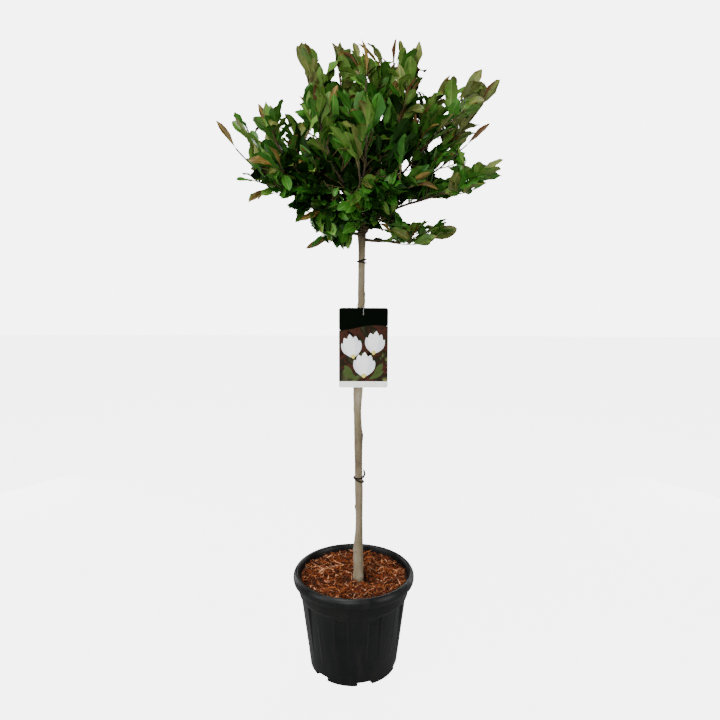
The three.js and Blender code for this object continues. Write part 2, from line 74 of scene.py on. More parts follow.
def seen(points):
    """Where the eye sees points: right and down from the top left of the view, 720 wide."""
    side, top, ahead = eye_axes()
    off = points - np.array(EYE)
    scale = PICTURE * EYE_LENS / SENSOR / (off @ ahead)
    return np.stack([PICTURE / 2 + off @ side * scale, PICTURE / 2 - off @ top * scale], -1)


def make_camera():
    side, top, ahead = eye_axes()
    place = np.eye(4)
    place[:3, :] = np.column_stack([side, top, -ahead, np.array(EYE) * METRES])
    data = bpy.data.cameras.new("eye")
    data.lens = EYE_LENS
    data.sensor_width = SENSOR
    eye = bpy.data.objects.new("eye", data)
    eye.matrix_world = Matrix(place.tolist())
    bpy.context.scene.collection.objects.link(eye)
    bpy.context.scene.camera = eye


def make_light(name, place, aim, size, power, colour=(1, 1, 1)):
    """A soft light, its width and height given, that looks from its place to its aim in metres."""
    data = bpy.data.lights.new(name, "AREA")
    data.shape = "RECTANGLE"
    data.size, data.size_y = size
    data.energy = power
    data.color = colour
    lamp = bpy.data.objects.new(name, data)
    lamp.visible_camera = False
    back = np.array(place, float) - np.array(aim, float)
    back /= np.linalg.norm(back)
    side = np.cross(UP, back)
    side /= np.linalg.norm(side)
    turn = np.eye(4)
    turn[:3, :] = np.column_stack([side, np.cross(back, side), back, place])
    lamp.matrix_world = Matrix(turn.tolist())
    bpy.context.scene.collection.objects.link(lamp)


def seen_only(tree, socket, light, straight):
    """Gives a strength one value for light and another for what is looked at straight."""
    ray = tree.nodes.new("ShaderNodeLightPath")
    step = tree.nodes.new("ShaderNodeMapRange")
    step.inputs["To Min"].default_value = light
    step.inputs["To Max"].default_value = straight
    tree.links.new(ray.outputs["Is Camera Ray"], step.inputs["Value"])
    tree.links.new(step.outputs["Result"], socket)


def make_studio():
    """A pale floor and a white sky that look brighter than they light, and soft lights above, in
    front, at both sides and behind."""
    sky = bpy.data.worlds.new("sky")
    sky.use_nodes = True
    paint = sky.node_tree.nodes["Background"]
    paint.inputs["Color"].default_value = (1, 1, 1, 1)
    seen_only(sky.node_tree, paint.inputs["Strength"], SKY_LIGHT, SKY_SEEN)
    bpy.context.scene.world = sky
    make_light("top_light", (-0.7, -1.3, 3.1), (0, 0, 1.2), (1.2, 1.2), 88)
    make_light("front_light", (-0.35, -2.3, 1.25), (0, 0, 1.1), (0.6, 0.9), 34)
    make_light("left_panel", (-2.0, -1.2, 1.3), (0, 0, 0.9), (0.7, 1.8), 34)
    make_light("right_panel", (1.9, -1.1, 0.9), (0, 0, 1.1), (0.5, 1.4), 29)
    make_light("back_light", (0.6, 2.2, 2.3), (0, 0, 1.1), (1.0, 1.0), 50)
    make_light("left_back_panel", (-1.6, 1.2, 0.9), (0, 0, 0.6), (0.6, 1.8), 16)
    make_light("right_back_panel", (1.6, 1.2, 0.9), (0, 0, 0.6), (0.6, 1.8), 12)
    half = 9000
    corners = np.array([[-half, -half, 0], [half, -half, 0], [half, half, 0], [-half, half, 0]], float)
    floor = build("floor", corners, [np.array([[0, 1, 2, 3]])], [floor_finish()])


# ---- Finishes ----


class Finish:
    """A material's node tree with short calls for the nodes that the finishes share."""

    def __init__(self, name, roughness, **sockets):
        self.material = bpy.data.materials.new(name)
        self.material.use_nodes = True
        self.tree = self.material.node_tree
        self.shader = self.tree.nodes["Principled BSDF"]
        self.shader.inputs["Roughness"].default_value = roughness
        for socket, value in sockets.items():
            self.shader.inputs[socket.replace("_", " ")].default_value = value
        self.place = self.tree.nodes.new("ShaderNodeTexCoord").outputs["Object"]

    def link(self, out, to):
        self.tree.links.new(out, to)

    def stretched(self, scale):
        """The object's coordinates, scaled unevenly."""
        node = self.tree.nodes.new("ShaderNodeMapping")
        node.inputs["Scale"].default_value = scale
        self.link(self.place, node.inputs["Vector"])
        return node.outputs["Vector"]

    def noise(self, scale, detail=3.0, place=None, distortion=0.0):
        node = self.tree.nodes.new("ShaderNodeTexNoise")
        node.inputs["Scale"].default_value = scale
        node.inputs["Detail"].default_value = detail
        node.inputs["Distortion"].default_value = distortion
        self.link(place or self.place, node.inputs["Vector"])
        return node.outputs["Fac"]

    def speckle(self, scale, place=None):
        """The distance to the nearest of a scatter of points."""
        node = self.tree.nodes.new("ShaderNodeTexVoronoi")
        node.inputs["Scale"].default_value = scale
        self.link(place or self.place, node.inputs["Vector"])
        return node.outputs["Distance"]

    def ramp(self, value, stops):
        """A value turned into colours at [place, colour] stops."""
        node = self.tree.nodes.new("ShaderNodeValToRGB")
        ramp = node.color_ramp
        while len(ramp.elements) < len(stops):
            ramp.elements.new(0.5)
        for element, (at, colour) in zip(ramp.elements, stops):
            element.position = at
            element.color = (*colour, 1)
        self.link(value, node.inputs["Fac"])
        return node.outputs["Color"]

    def mix(self, share, a, b, blend="MIX"):
        """Two colours mixed by a share, each a colour or another node's output."""
        node = self.tree.nodes.new("ShaderNodeMix")
        node.data_type = "RGBA"
        node.blend_type = blend
        sockets = [s for s in node.inputs if s.enabled]
        for socket, value in zip(sockets, (share, a, b)):
            if isinstance(value, bpy.types.NodeSocket):
                self.link(value, socket)
            elif isinstance(value, tuple):
                socket.default_value = (*value, 1)
            else:
                socket.default_value = value
        return next(o for o in node.outputs if o.enabled)

    def span(self, value, low, high, to_low, to_high):
        """A value carried from one span to another, clamped."""
        node = self.tree.nodes.new("ShaderNodeMapRange")
        ends = {"From Min": low, "From Max": high, "To Min": to_low, "To Max": to_high}
        for name, number in ends.items():
            node.inputs[name].default_value = number
        self.link(value, node.inputs["Value"])
        return node.outputs["Result"]

    def colour(self, out):
        self.link(out, self.shader.inputs["Base Color"])

    def rough(self, out):
        self.link(out, self.shader.inputs["Roughness"])

    def bump(self, height, strength, distance):
        node = self.tree.nodes.new("ShaderNodeBump")
        node.inputs["Strength"].default_value = strength
        node.inputs["Distance"].default_value = distance * METRES
        self.link(height, node.inputs["Height"])
        self.link(node.outputs["Normal"], self.shader.inputs["Normal"])


def times(colour, factor):
    return tuple(min(1.0, c * factor) for c in colour)


def leaf_finish(name, colour, roughness, shine):
    """A leaf's skin: its colour a little uneven, finely pitted, with more or less shine."""
    finish = Finish(name, roughness, Specular_IOR_Level=shine)
    patches = finish.noise(38, 2)
    finish.colour(finish.ramp(patches, [(0.3, times(colour, 0.72)), (0.7, times(colour, 1.28))]))
    finish.rough(finish.span(patches, 0.3, 0.7, roughness - 0.06, roughness + 0.08))
    finish.bump(finish.noise(420, 3), 0.35, 0.4)
    return finish.material


def plastic_finish(name, colour, roughness):
    """Moulded plastic: fine grain, faint scuffs and a little dust, which lift its roughness."""
    finish = Finish(name, roughness, Specular_IOR_Level=0.2)
    dust = finish.noise(14, 4)
    finish.colour(finish.ramp(dust, [(0.35, times(colour, 0.8)), (0.75, times(colour, 1.3))]))
    finish.rough(finish.span(dust, 0.3, 0.75, roughness - 0.05, roughness + 0.1))
    finish.bump(finish.noise(900, 2), 0.25, 0.15)
    return finish.material


def floor_finish():
    """White studio paper, which shines towards the eye alone."""
    finish = Finish("studio_paper", 0.9, Base_Color=(0.3, 0.3, 0.3, 1), Emission_Color=(1, 1, 1, 1))
    seen_only(finish.tree, finish.shader.inputs["Emission Strength"], 0, FLOOR_SEEN)
    return finish.material


def pot_finish():
    """Black moulded plastic: fine vertical drawing marks, pale dust in patches and a satin grain."""
    finish = Finish("pot_black", 0.4, Specular_IOR_Level=0.2)
    dust = finish.noise(9, 5, distortion=0.4)
    streaks = finish.noise(60, 3, finish.stretched((1, 1, 0.06)))
    black = finish.ramp(dust, [(0.3, (0.0022, 0.0028, 0.0030)), (0.75, (0.0060, 0.0066, 0.0060))])
    marked = finish.mix(finish.span(streaks, 0.5, 0.8, 0, 0.35), black, (0.020, 0.019, 0.016))
    finish.colour(marked)
    finish.rough(finish.span(streaks, 0.3, 0.75, 0.35, 0.5))
    finish.bump(finish.noise(700, 3), 0.3, 0.2)
    return finish.material


def bark_finish(name, pale, tan, dark, moss, speckles):
    """Smooth bark: pale and tan patches, greenish stains, dark pores and fine level wrinkles."""
    finish = Finish(name, 0.82, Specular_IOR_Level=0.25)
    patches = finish.noise(26, 5, finish.stretched((1, 1, 0.45)))
    bark = finish.ramp(patches, [(0.3, dark), (0.48, tan), (0.7, pale)])
    stains = finish.noise(11, 4, finish.stretched((1, 1, 0.3)), 0.6)
    stained = finish.mix(finish.span(stains, 0.5, 0.72, 0, 0.6), bark, moss)
    pores = finish.speckle(speckles, finish.stretched((1, 1, 1.8)))
    finish.colour(finish.mix(finish.span(pores, 0.1, 0.3, 0.75, 0), stained, times(dark, 0.45)))
    wrinkles = finish.noise(150, 6, finish.stretched((0.7, 0.7, 2.6)), 0.5)
    finish.bump(wrinkles, 0.55, 0.9)
    return finish.material


def mulch_finish(name, colour):
    """A shred of bark: long grain, uneven in colour, dry and rough."""
    finish = Finish(name, 0.85, Specular_IOR_Level=0.15)
    grain = finish.noise(240, 4, finish.stretched((1, 0.6, 1)))
    stops = [(0.32, times(colour, 0.42)), (0.55, colour), (0.78, times(colour, 1.45))]
    finish.colour(finish.ramp(grain, stops))
    finish.bump(grain, 0.6, 0.8)
    return finish.material


def print_finish(name, colour, blots=None):
    """Printed card, even or blotted with other colours out of focus."""
    finish = Finish(name, 0.6, Specular_IOR_Level=0.01)
    if blots:
        stops = [(0.25 + 0.5 * i / (len(blots) - 1), blot) for i, blot in enumerate(blots)]
        finish.colour(finish.ramp(finish.noise(34, 1.5, distortion=0.8), stops))
    else:
        stops = [(0.3, times(colour, 0.94)), (0.7, times(colour, 1.06))]
        finish.colour(finish.ramp(finish.noise(90, 2), stops))
    finish.bump(finish.noise(60, 1), 0.15, 0.3)
    return finish.material


POT_BLACK = pot_finish()
# Bark: its pale, tan and dark patches, its green stains, and how close its pores stand.
STEM_BARK = bark_finish(
    "stem_bark", (0.29, 0.25, 0.182), (0.185, 0.148, 0.092), (0.085, 0.064, 0.039),
    (0.15, 0.137, 0.062), 330,
)
# The limbs' bark is a darker copy of the stem's: painted shade for the crown's heart, where they stand.
LIMB_BARK = bark_finish(
    "limb_bark", (0.11, 0.08, 0.05), (0.06, 0.042, 0.024), (0.026, 0.017, 0.01),
    (0.045, 0.048, 0.016), 260,
)
TWIG_BARK = bark_finish(
    "twig_bark", (0.12, 0.10, 0.035), (0.08, 0.055, 0.02), (0.04, 0.025, 0.012),
    (0.06, 0.08, 0.015), 500,
)
COMPOST = mulch_finish("compost", (0.03, 0.009, 0.003))
SHREDS = [
    mulch_finish("shred_rust", (0.15, 0.028, 0.005)),
    mulch_finish("shred_brown", (0.070, 0.015, 0.004)),
    mulch_finish("shred_orange", (0.31, 0.086, 0.018)),
    mulch_finish("shred_tan", (0.62, 0.29, 0.15)),
    mulch_finish("shred_dark", (0.022, 0.007, 0.002)),
]
SHRED_SHARES = [0.29, 0.26, 0.17, 0.10, 0.18]

# Leaf colours: the upper side, the underside and the midrib of each tint. shade is painted shade: the
# near-black green given to leaves in the crown's heart, where its shadow falls.
TINTS = {
    "shade": ((0.003, 0.015, 0.001), (0.005, 0.020, 0.002), (0.010, 0.030, 0.003)),
    "deep": ((0.009, 0.062, 0.003), (0.016, 0.078, 0.005), (0.04, 0.12, 0.012)),
    "mid": ((0.023, 0.108, 0.006), (0.034, 0.112, 0.010), (0.07, 0.16, 0.024)),
    "fresh": ((0.054, 0.140, 0.014), (0.070, 0.142, 0.018), (0.13, 0.20, 0.04)),
    "olive": ((0.083, 0.107, 0.020), (0.100, 0.122, 0.026), (0.17, 0.18, 0.055)),
    "bronze": ((0.082, 0.052, 0.008), (0.115, 0.078, 0.016), (0.19, 0.13, 0.035)),
    "rust": ((0.075, 0.030, 0.007), (0.092, 0.042, 0.012), (0.14, 0.08, 0.028)),
}
LEAF_SHINE = {"shade": 0.06, "deep": 0.14}
TINT_NAMES = list(TINTS)
LEAF_FINISHES = []
for tint, (upper, under, rib) in TINTS.items():
    shine = LEAF_SHINE.get(tint, 0.22)
    LEAF_FINISHES += [
        leaf_finish(f"leaf_{tint}_upper", upper, 0.45, 1.15 * shine),
        leaf_finish(f"leaf_{tint}_under", under, 0.62, shine),
        leaf_finish(f"leaf_{tint}_rib", rib, 0.5, shine),
    ]
LABEL_HEAD = print_finish("label_head", (0.0012, 0.0026, 0.0011))
LABEL_CARD = print_finish("label_card", (0.94, 0.945, 0.91))
BLOTS = [
    (0.005, 0.004, 0.003), (0.050, 0.018, 0.012), (0.012, 0.012, 0.007), (0.050, 0.054, 0.024),
    (0.18, 0.18, 0.06),
]
LABEL_GROUND = print_finish("label_ground", None, BLOTS)
LABEL_PETAL = print_finish("label_petal", (0.95, 0.96, 0.97))
LABEL_SHADE = print_finish("label_shade", (0.76, 0.79, 0.82))
LABEL_LEAF = print_finish("label_leaf", (0.05, 0.075, 0.022))
LABEL_HEART = print_finish("label_heart", (0.62, 0.52, 0.12))
STRAP_GREY = plastic_finish("strap_grey", (0.30, 0.31, 0.30), 0.5)
TIE_BROWN = plastic_finish("tie_brown", (0.006, 0.0036, 0.003), 0.7)


# ---- Shapes ----


def unit(vector):
    return vector / np.linalg.norm(vector, axis=-1, keepdims=True)


def ease(value, low, high):
    """A smooth step: 0 below low, 1 above high, three t squared less two t cubed between."""
    t = np.clip((value - low) / (high - low), 0, 1)
    return t * t * (3 - 2 * t)


def relief(around, along, seed, waves, turns, pace):
    """Uneven relief near -1 to 1: a sum of sines, each with a whole number of waves in around,
    which runs from 0 to 1 once round, any number in along, and a phase of its own."""
    own = np.random.default_rng(seed)
    total = 0
    for _ in range(waves):
        turned = own.integers(0, turns + 1) * around + own.uniform(-pace, pace) * along
        total = total + np.sin(2 * np.pi * (turned + own.random()))
    return total / np.sqrt(waves)


def build(name, points, polygons, materials, which=None, sharp=None):
    """A mesh from millimetre points, lists of index arrays and a material number for each face."""
    mesh = bpy.data.meshes.new(name)
    corners = np.concatenate([p.ravel() for p in polygons])
    sizes = np.concatenate([np.full(len(p), p.shape[1]) for p in polygons])
    mesh.vertices.add(len(points))
    mesh.vertices.foreach_set("co", (np.asarray(points, float) * METRES).ravel())
    mesh.loops.add(len(corners))
    mesh.loops.foreach_set("vertex_index", corners.astype(np.int32))
    mesh.polygons.add(len(sizes))
    starts = np.concatenate([[0], np.cumsum(sizes)[:-1]])
    mesh.polygons.foreach_set("loop_start", starts.astype(np.int32))
    for material in materials:
        mesh.materials.append(material)
    if which is not None:
        mesh.polygons.foreach_set("material_index", np.asarray(which, np.int32))
    mesh.update(calc_edges=True)
    if sharp is not None:
        mesh.polygons.foreach_set("use_smooth", np.ones(len(sizes), bool))
        mesh.set_sharp_from_angle(angle=np.radians(sharp))
    piece = bpy.data.objects.new(name, mesh)
    bpy.context.scene.collection.objects.link(piece)
    return piece


def skin(rings, wrapped=False):
    """Skins many rows of rings, (pieces, rings, sides, 3), that turn the right-hand way about their
    travel. Each row is closed by its end rings as faces, or joined end to start where wrapped.
    Returns the points, the side faces and the end faces."""
    count, rows, sides, _ = rings.shape
    start = np.arange(count)[:, None, None] * rows * sides
    row = np.arange(rows if wrapped else rows - 1)[None, :, None]
    side = np.arange(sides)[None, None, :]
    turned = (side + 1) % sides
    ahead = (row + 1) % rows
    sheet = [row * sides + side, row * sides + turned, ahead * sides + turned, ahead * sides + side]
    quads = np.stack([start + corner for corner in sheet], -1).reshape(-1, 4)
    ends = []
    if not wrapped:
        first = start[:, 0] + np.arange(sides)[::-1]
        last = start[:, 0] + (rows - 1) * sides + np.arange(sides)
        ends = [first, last]
    return rings.reshape(-1, 3), quads, ends


def frames(line, wrapped=False):
    """Unit tangents of a line of points, and two square directions carried along with least turn."""
    ahead = np.roll(line, -1, 0) - np.roll(line, 1, 0)
    if not wrapped:
        ahead[0], ahead[-1] = line[1] - line[0], line[-1] - line[-2]
    tangent = unit(ahead)
    side = np.cross(tangent[0], UP if abs(tangent[0][2]) < 0.9 else np.array([0.0, 1.0, 0.0]))
    sides = []
    for along in tangent:
        side = side - along * (side @ along)
        side = side / np.linalg.norm(side)
        sides.append(side)
    sides = np.array(sides)
    return tangent, sides, np.cross(tangent, sides)


def tube(line, radius, sides, wrapped=False):
    """Rings of a round tube along a line: the point plus radius times cosine and sine of the turn
    along the two square directions."""
    _, side, other = frames(line, wrapped)
    turn = np.arange(sides) * 2 * np.pi / sides
    across = np.cos(turn)[None, :, None] * side[:, None] + np.sin(turn)[None, :, None] * other[:, None]
    radius = np.asarray(radius, float).reshape(len(np.atleast_1d(radius)), -1)
    radius = np.broadcast_to(radius, (len(line), sides))
    return line[:, None] + across * radius[..., None]


def spline(knots, steps, wrapped=False):
    """A smooth line through knots (Catmull-Rom): each stretch is the cubic whose end slopes are half
    the way between the knots on each side."""
    knots = np.asarray(knots, float)
    if wrapped:
        ring = np.concatenate([knots[-1:], knots, knots[:2]])
    else:
        ring = np.concatenate([2 * knots[:1] - knots[1:2], knots, 2 * knots[-1:] - knots[-2:-1]])
    a, b, c, d = (ring[i : len(ring) - 3 + i, None] for i in range(4))
    t = (np.arange(steps) / steps)[None, :, None]
    square, cube = 2 * a - 5 * b + 4 * c - d, 3 * b - a - 3 * c + d
    line = 0.5 * (2 * b + (c - a) * t + square * t**2 + cube * t**3)
    line = line.reshape(-1, knots.shape[1])
    return line if wrapped else np.concatenate([line, knots[-1:]])


def joined(parts):
    """Several (points, polygons, material numbers) sets as one: (points, list of arrays, numbers)."""
    points, polygons, numbers, base = [], [], [], 0
    for own_points, own_polygons, own_numbers in parts:
        points.append(own_points)
        polygons += [p + base for p in own_polygons]
        numbers += [np.broadcast_to(n, len(p)) for n, p in zip(own_numbers, own_polygons)]
        base += len(own_points)
    return np.concatenate(points), polygons, np.concatenate(numbers)


def tubes(name, lines, sides, materials, sharp=60):
    """One piece of many tubes, each of them (line, radius, material number)."""
    parts = []
    for line, radius, number in lines:
        points, quads, ends = skin(tube(line, radius, sides)[None])
        parts.append((points, [quads, *ends], [number] * 3))
    points, polygons, numbers = joined(parts)
    return build(name, points, polygons, materials, numbers, sharp)


def take_over(piece, slot, *nodes):
    """A finished piece rides on the plant and stands for its nodes, which it hides. Its slot is not
    used.
    """
    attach(piece, "root")
    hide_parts(*nodes)


# ---- Pot ----

# foot, shoulder, collar, rim and mouth are radii.
POT = {
    "height": 264, "foot": 117.5, "shoulder": 141.5, "shoulder_height": 200, "collar": 146.5,
    "rim": 162, "rim_depth": 27, "mouth": 148, "wall": 5, "floor": 6,
}
POT_TURNS = 480
# The first flute's and notch's bearings, and how wide they are along the arc. Flutes deepen from the
# height fade to top.
FLUTES = {"count": 10, "first": -102.8, "width": 33, "depth": 3.8, "top": 197, "fade": 40}
NOTCHES = {"count": 6, "first": -74.5, "width": 39, "height": 11.5, "depth": 14}
# How high the mulch stands at the wall, and round the stem out to a radius.
MULCH = {"edge": 246, "heap": 230, "heap_radius": 36}


def rounded(profile, reach):
    """An outline with each corner cut twice, back to at most reach along both its sides."""
    for share in (0.45, 0.25):
        points = [profile[0]]
        for before, corner, after in zip(profile, profile[1:], profile[2:]):
            for other in (before, after):
                length = np.linalg.norm(other - corner)
                points.append(corner + (other - corner) * min(share, reach / length))
        profile = np.array([*points, profile[-1]])
        reach *= 0.45
    return profile


def resampled(profile, step):
    """An outline with points no further apart than a step."""
    out = [profile[:1]]
    for a, b in zip(profile, profile[1:]):
        count = max(1, int(np.ceil(np.linalg.norm(b - a) / step)))
        out.append(a + (b - a) * (np.arange(1, count + 1) / count)[:, None])
    return np.concatenate(out)


def nearness(angle, count, first, radius):
    """The arc length from each angle to the middle of the nearest of evenly spaced features."""
    spacing = 360 / count
    off = (angle - first + spacing / 2) % spacing - spacing / 2
    return np.abs(np.radians(off)) * radius


def turned_rings(profile, turns, shape=None):
    """A profile of (radius, height) swept round +Z as rings that run up the profile. shape gives
    each point its own (radius, height) from its angle, its radius and its height."""
    angle = np.arange(turns) * 360 / turns
    radius, height = (np.broadcast_to(column[:, None], (len(profile), turns)) for column in profile.T)
    if shape:
        radius, height = shape(angle[None], radius, height)
    turn = np.radians(angle)[None]
    return np.stack([radius * np.cos(turn), radius * np.sin(turn), height], -1)


def fluted(angle, radius, height):
    """The pot's outer wall: flutes sink in by their depth times the climb above their fade, each
    between walls about 3 mm wide with a low ridge outside them, and the foot is cut back at each
    notch."""
    outside = POT["foot"] + (POT["shoulder"] - POT["foot"]) * height / POT["shoulder_height"]
    on_wall = (radius > outside - 1.5) & (height < POT["shoulder_height"])
    half = FLUTES["width"] / 2
    near = nearness(angle, FLUTES["count"], FLUTES["first"], radius)
    climb = np.clip((height - FLUTES["fade"]) / (FLUTES["top"] - FLUTES["fade"]), 0, 1)
    below = 1 - ease(height, FLUTES["top"] - 4, FLUTES["top"])
    sink = FLUTES["depth"] * climb * (1 - ease(near, half - 2, half + 1.4)) * below
    ridge = 1.1 * climb * np.exp(-(((near - half - 2.6) / 1.5) ** 2)) * below
    to_notch = nearness(angle, NOTCHES["count"], NOTCHES["first"], POT["foot"])
    cut = 1 - ease(to_notch, NOTCHES["width"] / 2 - 0.8, NOTCHES["width"] / 2 + 0.8)
    low = 1 - ease(height, NOTCHES["height"] - 0.6, NOTCHES["height"] + 0.4)
    floor = outside - NOTCHES["depth"] * cut * low
    notch = np.where(height < 2 * NOTCHES["height"], np.minimum(0, floor - radius), 0)
    return np.where(on_wall, radius - sink + ridge, radius) + notch, height


def make_pot():
    rim_bottom = POT["height"] - POT["rim_depth"]
    inner_shoulder = POT["shoulder"] - POT["wall"]
    slope = (POT["shoulder"] - POT["foot"]) / POT["shoulder_height"]
    inner_foot = POT["foot"] - POT["wall"] + POT["floor"] * slope
    corners = np.array([
        [0.5, 0], [POT["foot"], 0], [POT["shoulder"], POT["shoulder_height"]],
        [POT["collar"], POT["shoulder_height"] + 2.5], [POT["collar"] + 2, rim_bottom + 1],
        [POT["rim"] - 1.5, rim_bottom - 0.3], [POT["rim"] + 0.8, rim_bottom + 7],
        [POT["rim"] + 0.8, POT["height"] - 11], [POT["rim"] - 4, POT["height"] - 2.5],
        [POT["mouth"] + 5, POT["height"]],
        [POT["mouth"], POT["height"] - 4], [inner_shoulder, POT["shoulder_height"]],
        [inner_foot, POT["floor"]], [0.5, POT["floor"]],
    ], float)
    rings = turned_rings(resampled(rounded(corners, 2.2), 5.0), POT_TURNS, fluted)
    points, quads, ends = skin(rings[None])
    pot = build("nursery_pot", points, [quads, *ends], [POT_BLACK], sharp=55)
    take_over(pot, "pot_plastic", "pot")


# ---- Mulch ----

SHRED_COUNT = 5200
HOLLOW = {"x": 36, "y": -2, "radius": 14, "depth": 13}  # a hollow beside the stem's foot, its shreds given the darkest tint as painted shade
STEM_FOOT = {"x": 13, "clear": 17}  # no shred lies nearer to its middle


def wall_radius(height):
    """The pot's inner radius at a height, up the wall and the mouth."""
    radii = [POT["foot"] - POT["wall"], POT["shoulder"] - POT["wall"], POT["mouth"]]
    return np.interp(height, [0, POT["shoulder_height"], POT["height"]], radii)


def mulch_height(x, y):
    """The mulch's top: level at the wall, dished to the stem, with lumps and a hollow beside it."""
    out = np.hypot(x, y)
    rings = [0, MULCH["heap_radius"], 0.6 * POT["mouth"], POT["mouth"]]
    dish = np.interp(out, rings, [MULCH["heap"], MULCH["heap"] + 0.5, MULCH["edge"] - 3, MULCH["edge"]])
    lumps = relief(x / 300, y / 300, seed=5, waves=14, turns=9, pace=9) * 1.5
    gone = np.hypot(x - HOLLOW["x"], y - HOLLOW["y"]) / HOLLOW["radius"]
    return dish + lumps - HOLLOW["depth"] * np.exp(-gone**2)


def make_compost():
    """The filling: up the pot's wall, then a lumpy top in rings down to its middle."""
    top = wall_radius(MULCH["edge"]) - 0.8
    floor, shoulder = POT["floor"] + 1, POT["shoulder_height"]
    side = np.array([
        [1.0, floor], [wall_radius(floor) - 1, floor], [wall_radius(shoulder) - 1, shoulder],
        [top, MULCH["edge"] - 1.5],
    ])
    inward = np.linspace(top, 1.0, 60)[1:]
    profile = np.concatenate([side, np.column_stack([inward, np.full(len(inward), MULCH["edge"])])])

    def lumpy(angle, radius, height):
        turn = np.radians(angle)
        lifted = mulch_height(radius * np.cos(turn), radius * np.sin(turn)) - 2
        return radius, np.where(np.arange(len(profile))[:, None] >= len(side), lifted, height)

    points, quads, ends = skin(turned_rings(profile, 160, lumpy)[None])
    return points, [quads, *ends], [0] * 3


def make_shreds():
    """Slivers of bark strewn over the top: each a flat four-sided bar, broad in the middle and
    narrow at its ends, bent in an arc, pitched and turned at random."""
    n = SHRED_COUNT
    length = np.clip(strewing.lognormal(2.8, 0.45, n), 6, 38)
    width = np.clip(strewing.lognormal(0.65, 0.4, n), 0.9, 4.6) * (0.7 + length / 60)
    thick = width * strewing.uniform(0.3, 0.6, n)
    top = POT["mouth"] - 4
    out = (top - length * 0.42) * np.sqrt(strewing.random(n))
    turn = strewing.uniform(0, 2 * np.pi, n)
    x, y = out * np.cos(turn), out * np.sin(turn)
    z = mulch_height(x, y) + strewing.uniform(-1.5, 5, n)
    yaw = strewing.uniform(0, 2 * np.pi, n)
    pitch, roll = strewing.normal(0, 0.26, n), strewing.normal(0, 0.6, n)
    ahead = np.stack([np.cos(yaw) * np.cos(pitch), np.sin(yaw) * np.cos(pitch), np.sin(pitch)], -1)
    level = unit(np.cross(ahead, UP))
    over = np.cross(level, ahead)
    across = level * np.cos(roll)[:, None] + over * np.sin(roll)[:, None]
    face = np.cross(across, ahead)
    share = np.array([-0.5, -0.2, 0.16, 0.5])
    fullness = np.array([0.35, 1.0, 0.9, 0.2])[None] * strewing.uniform(0.75, 1.2, (n, 4))
    bend = (share**2)[None] * (strewing.normal(0, 0.16, n) * length)[:, None]
    sway = (share**2)[None] * (strewing.normal(0, 0.3, n) * length)[:, None]
    middle = (
        np.stack([x, y, z], -1)[:, None]
        + ahead[:, None] * (share[None] * length[:, None])[..., None]
        + face[:, None] * bend[..., None]
        + across[:, None] * sway[..., None]
    )
    corners = np.array([[0.0, 1.0], [1.0, 0.1], [0.1, -1.0], [-1.0, -0.1]])[None, None, ..., None]
    half_thick = (thick[:, None] * fullness / 2)[..., None, None]
    half_width = (width[:, None] * fullness / 2)[..., None, None]
    offset = (
        corners[:, :, :, 1] * face[:, None, None] * half_thick
        + corners[:, :, :, 0] * across[:, None, None] * half_width
    )
    from_hollow = np.hypot(x - HOLLOW["x"], y - HOLLOW["y"]) / HOLLOW["radius"]
    kept = (from_hollow > 0.55) & (np.hypot(x - STEM_FOOT["x"], y) > STEM_FOOT["clear"])
    points, quads, ends = skin((middle[:, :, None] + offset)[kept])
    tint = strewing.choice(len(SHREDS), n, p=SHRED_SHARES)
    # Shreds near the hollow take the darkest tint: painted shade in the hollow.
    tint = np.where(from_hollow + strewing.normal(0, 0.2, n) < 1.15, len(SHREDS) - 1, tint)[kept] + 1
    return points, [quads, *ends], [np.repeat(tint, 4 * (len(share) - 1)), tint, tint]


# ---- Stem ----

# The stem's middle, and its thickness, at each height.
TRUNK_LINE = np.array([
    [226, 13], [331, 12], [380, 14], [470, 13.6], [526, 12.4], [600, 11.7], [630, 12], [660, 10.1],
    [700, 8.7], [763, 10.4], [860, 14], [967, 17.5], [1113, 19], [1243, 18],
], float)
TRUNK_GIRTH = np.array([
    [226, 22], [240, 27], [252, 25.6], [330, 25.6], [368, 19.7], [400, 18.5], [435, 19.6], [502, 21.6],
    [525, 20.3], [560, 19.4], [600, 21.8], [630, 23.3], [645, 21], [690, 19.1], [718, 21], [763, 25.2],
    [800, 24.5], [860, 19.5], [967, 17.5], [1113, 17], [1160, 22], [1243, 17],
], float)
# Knots and scars: height, bearing, half height and half width of the swelling, how proud it stands.
KNOTS = [
    (438, 182, 5, 5, 2.0), (634, -4, 9, 8, 1.6), (988, 8, 14, 9, 1.4), (1003, 352, 5, 4, 1.2),
    (560, 250, 7, 5, 0.9), (705, 205, 6, 5, 1.0), (398, 318, 5, 4, 0.9), (1050, 262, 5, 4, 0.8),
    (320, 222, 6, 5, 1.1), (745, 285, 5, 4, 0.8), (243, 192, 7, 6, 2.6), (244, 300, 9, 9, 1.4),
    (318, 176, 6, 6, 1.4), (1135, 120, 8, 6, 1.5), (880, 80, 7, 6, 1.2), (480, 70, 6, 5, 1.0),
]


def trunk_x(height):
    return np.interp(height, TRUNK_LINE[:, 0], TRUNK_LINE[:, 1])


def trunk_radius(height):
    return np.interp(height, TRUNK_GIRTH[:, 0], TRUNK_GIRTH[:, 1]) / 2


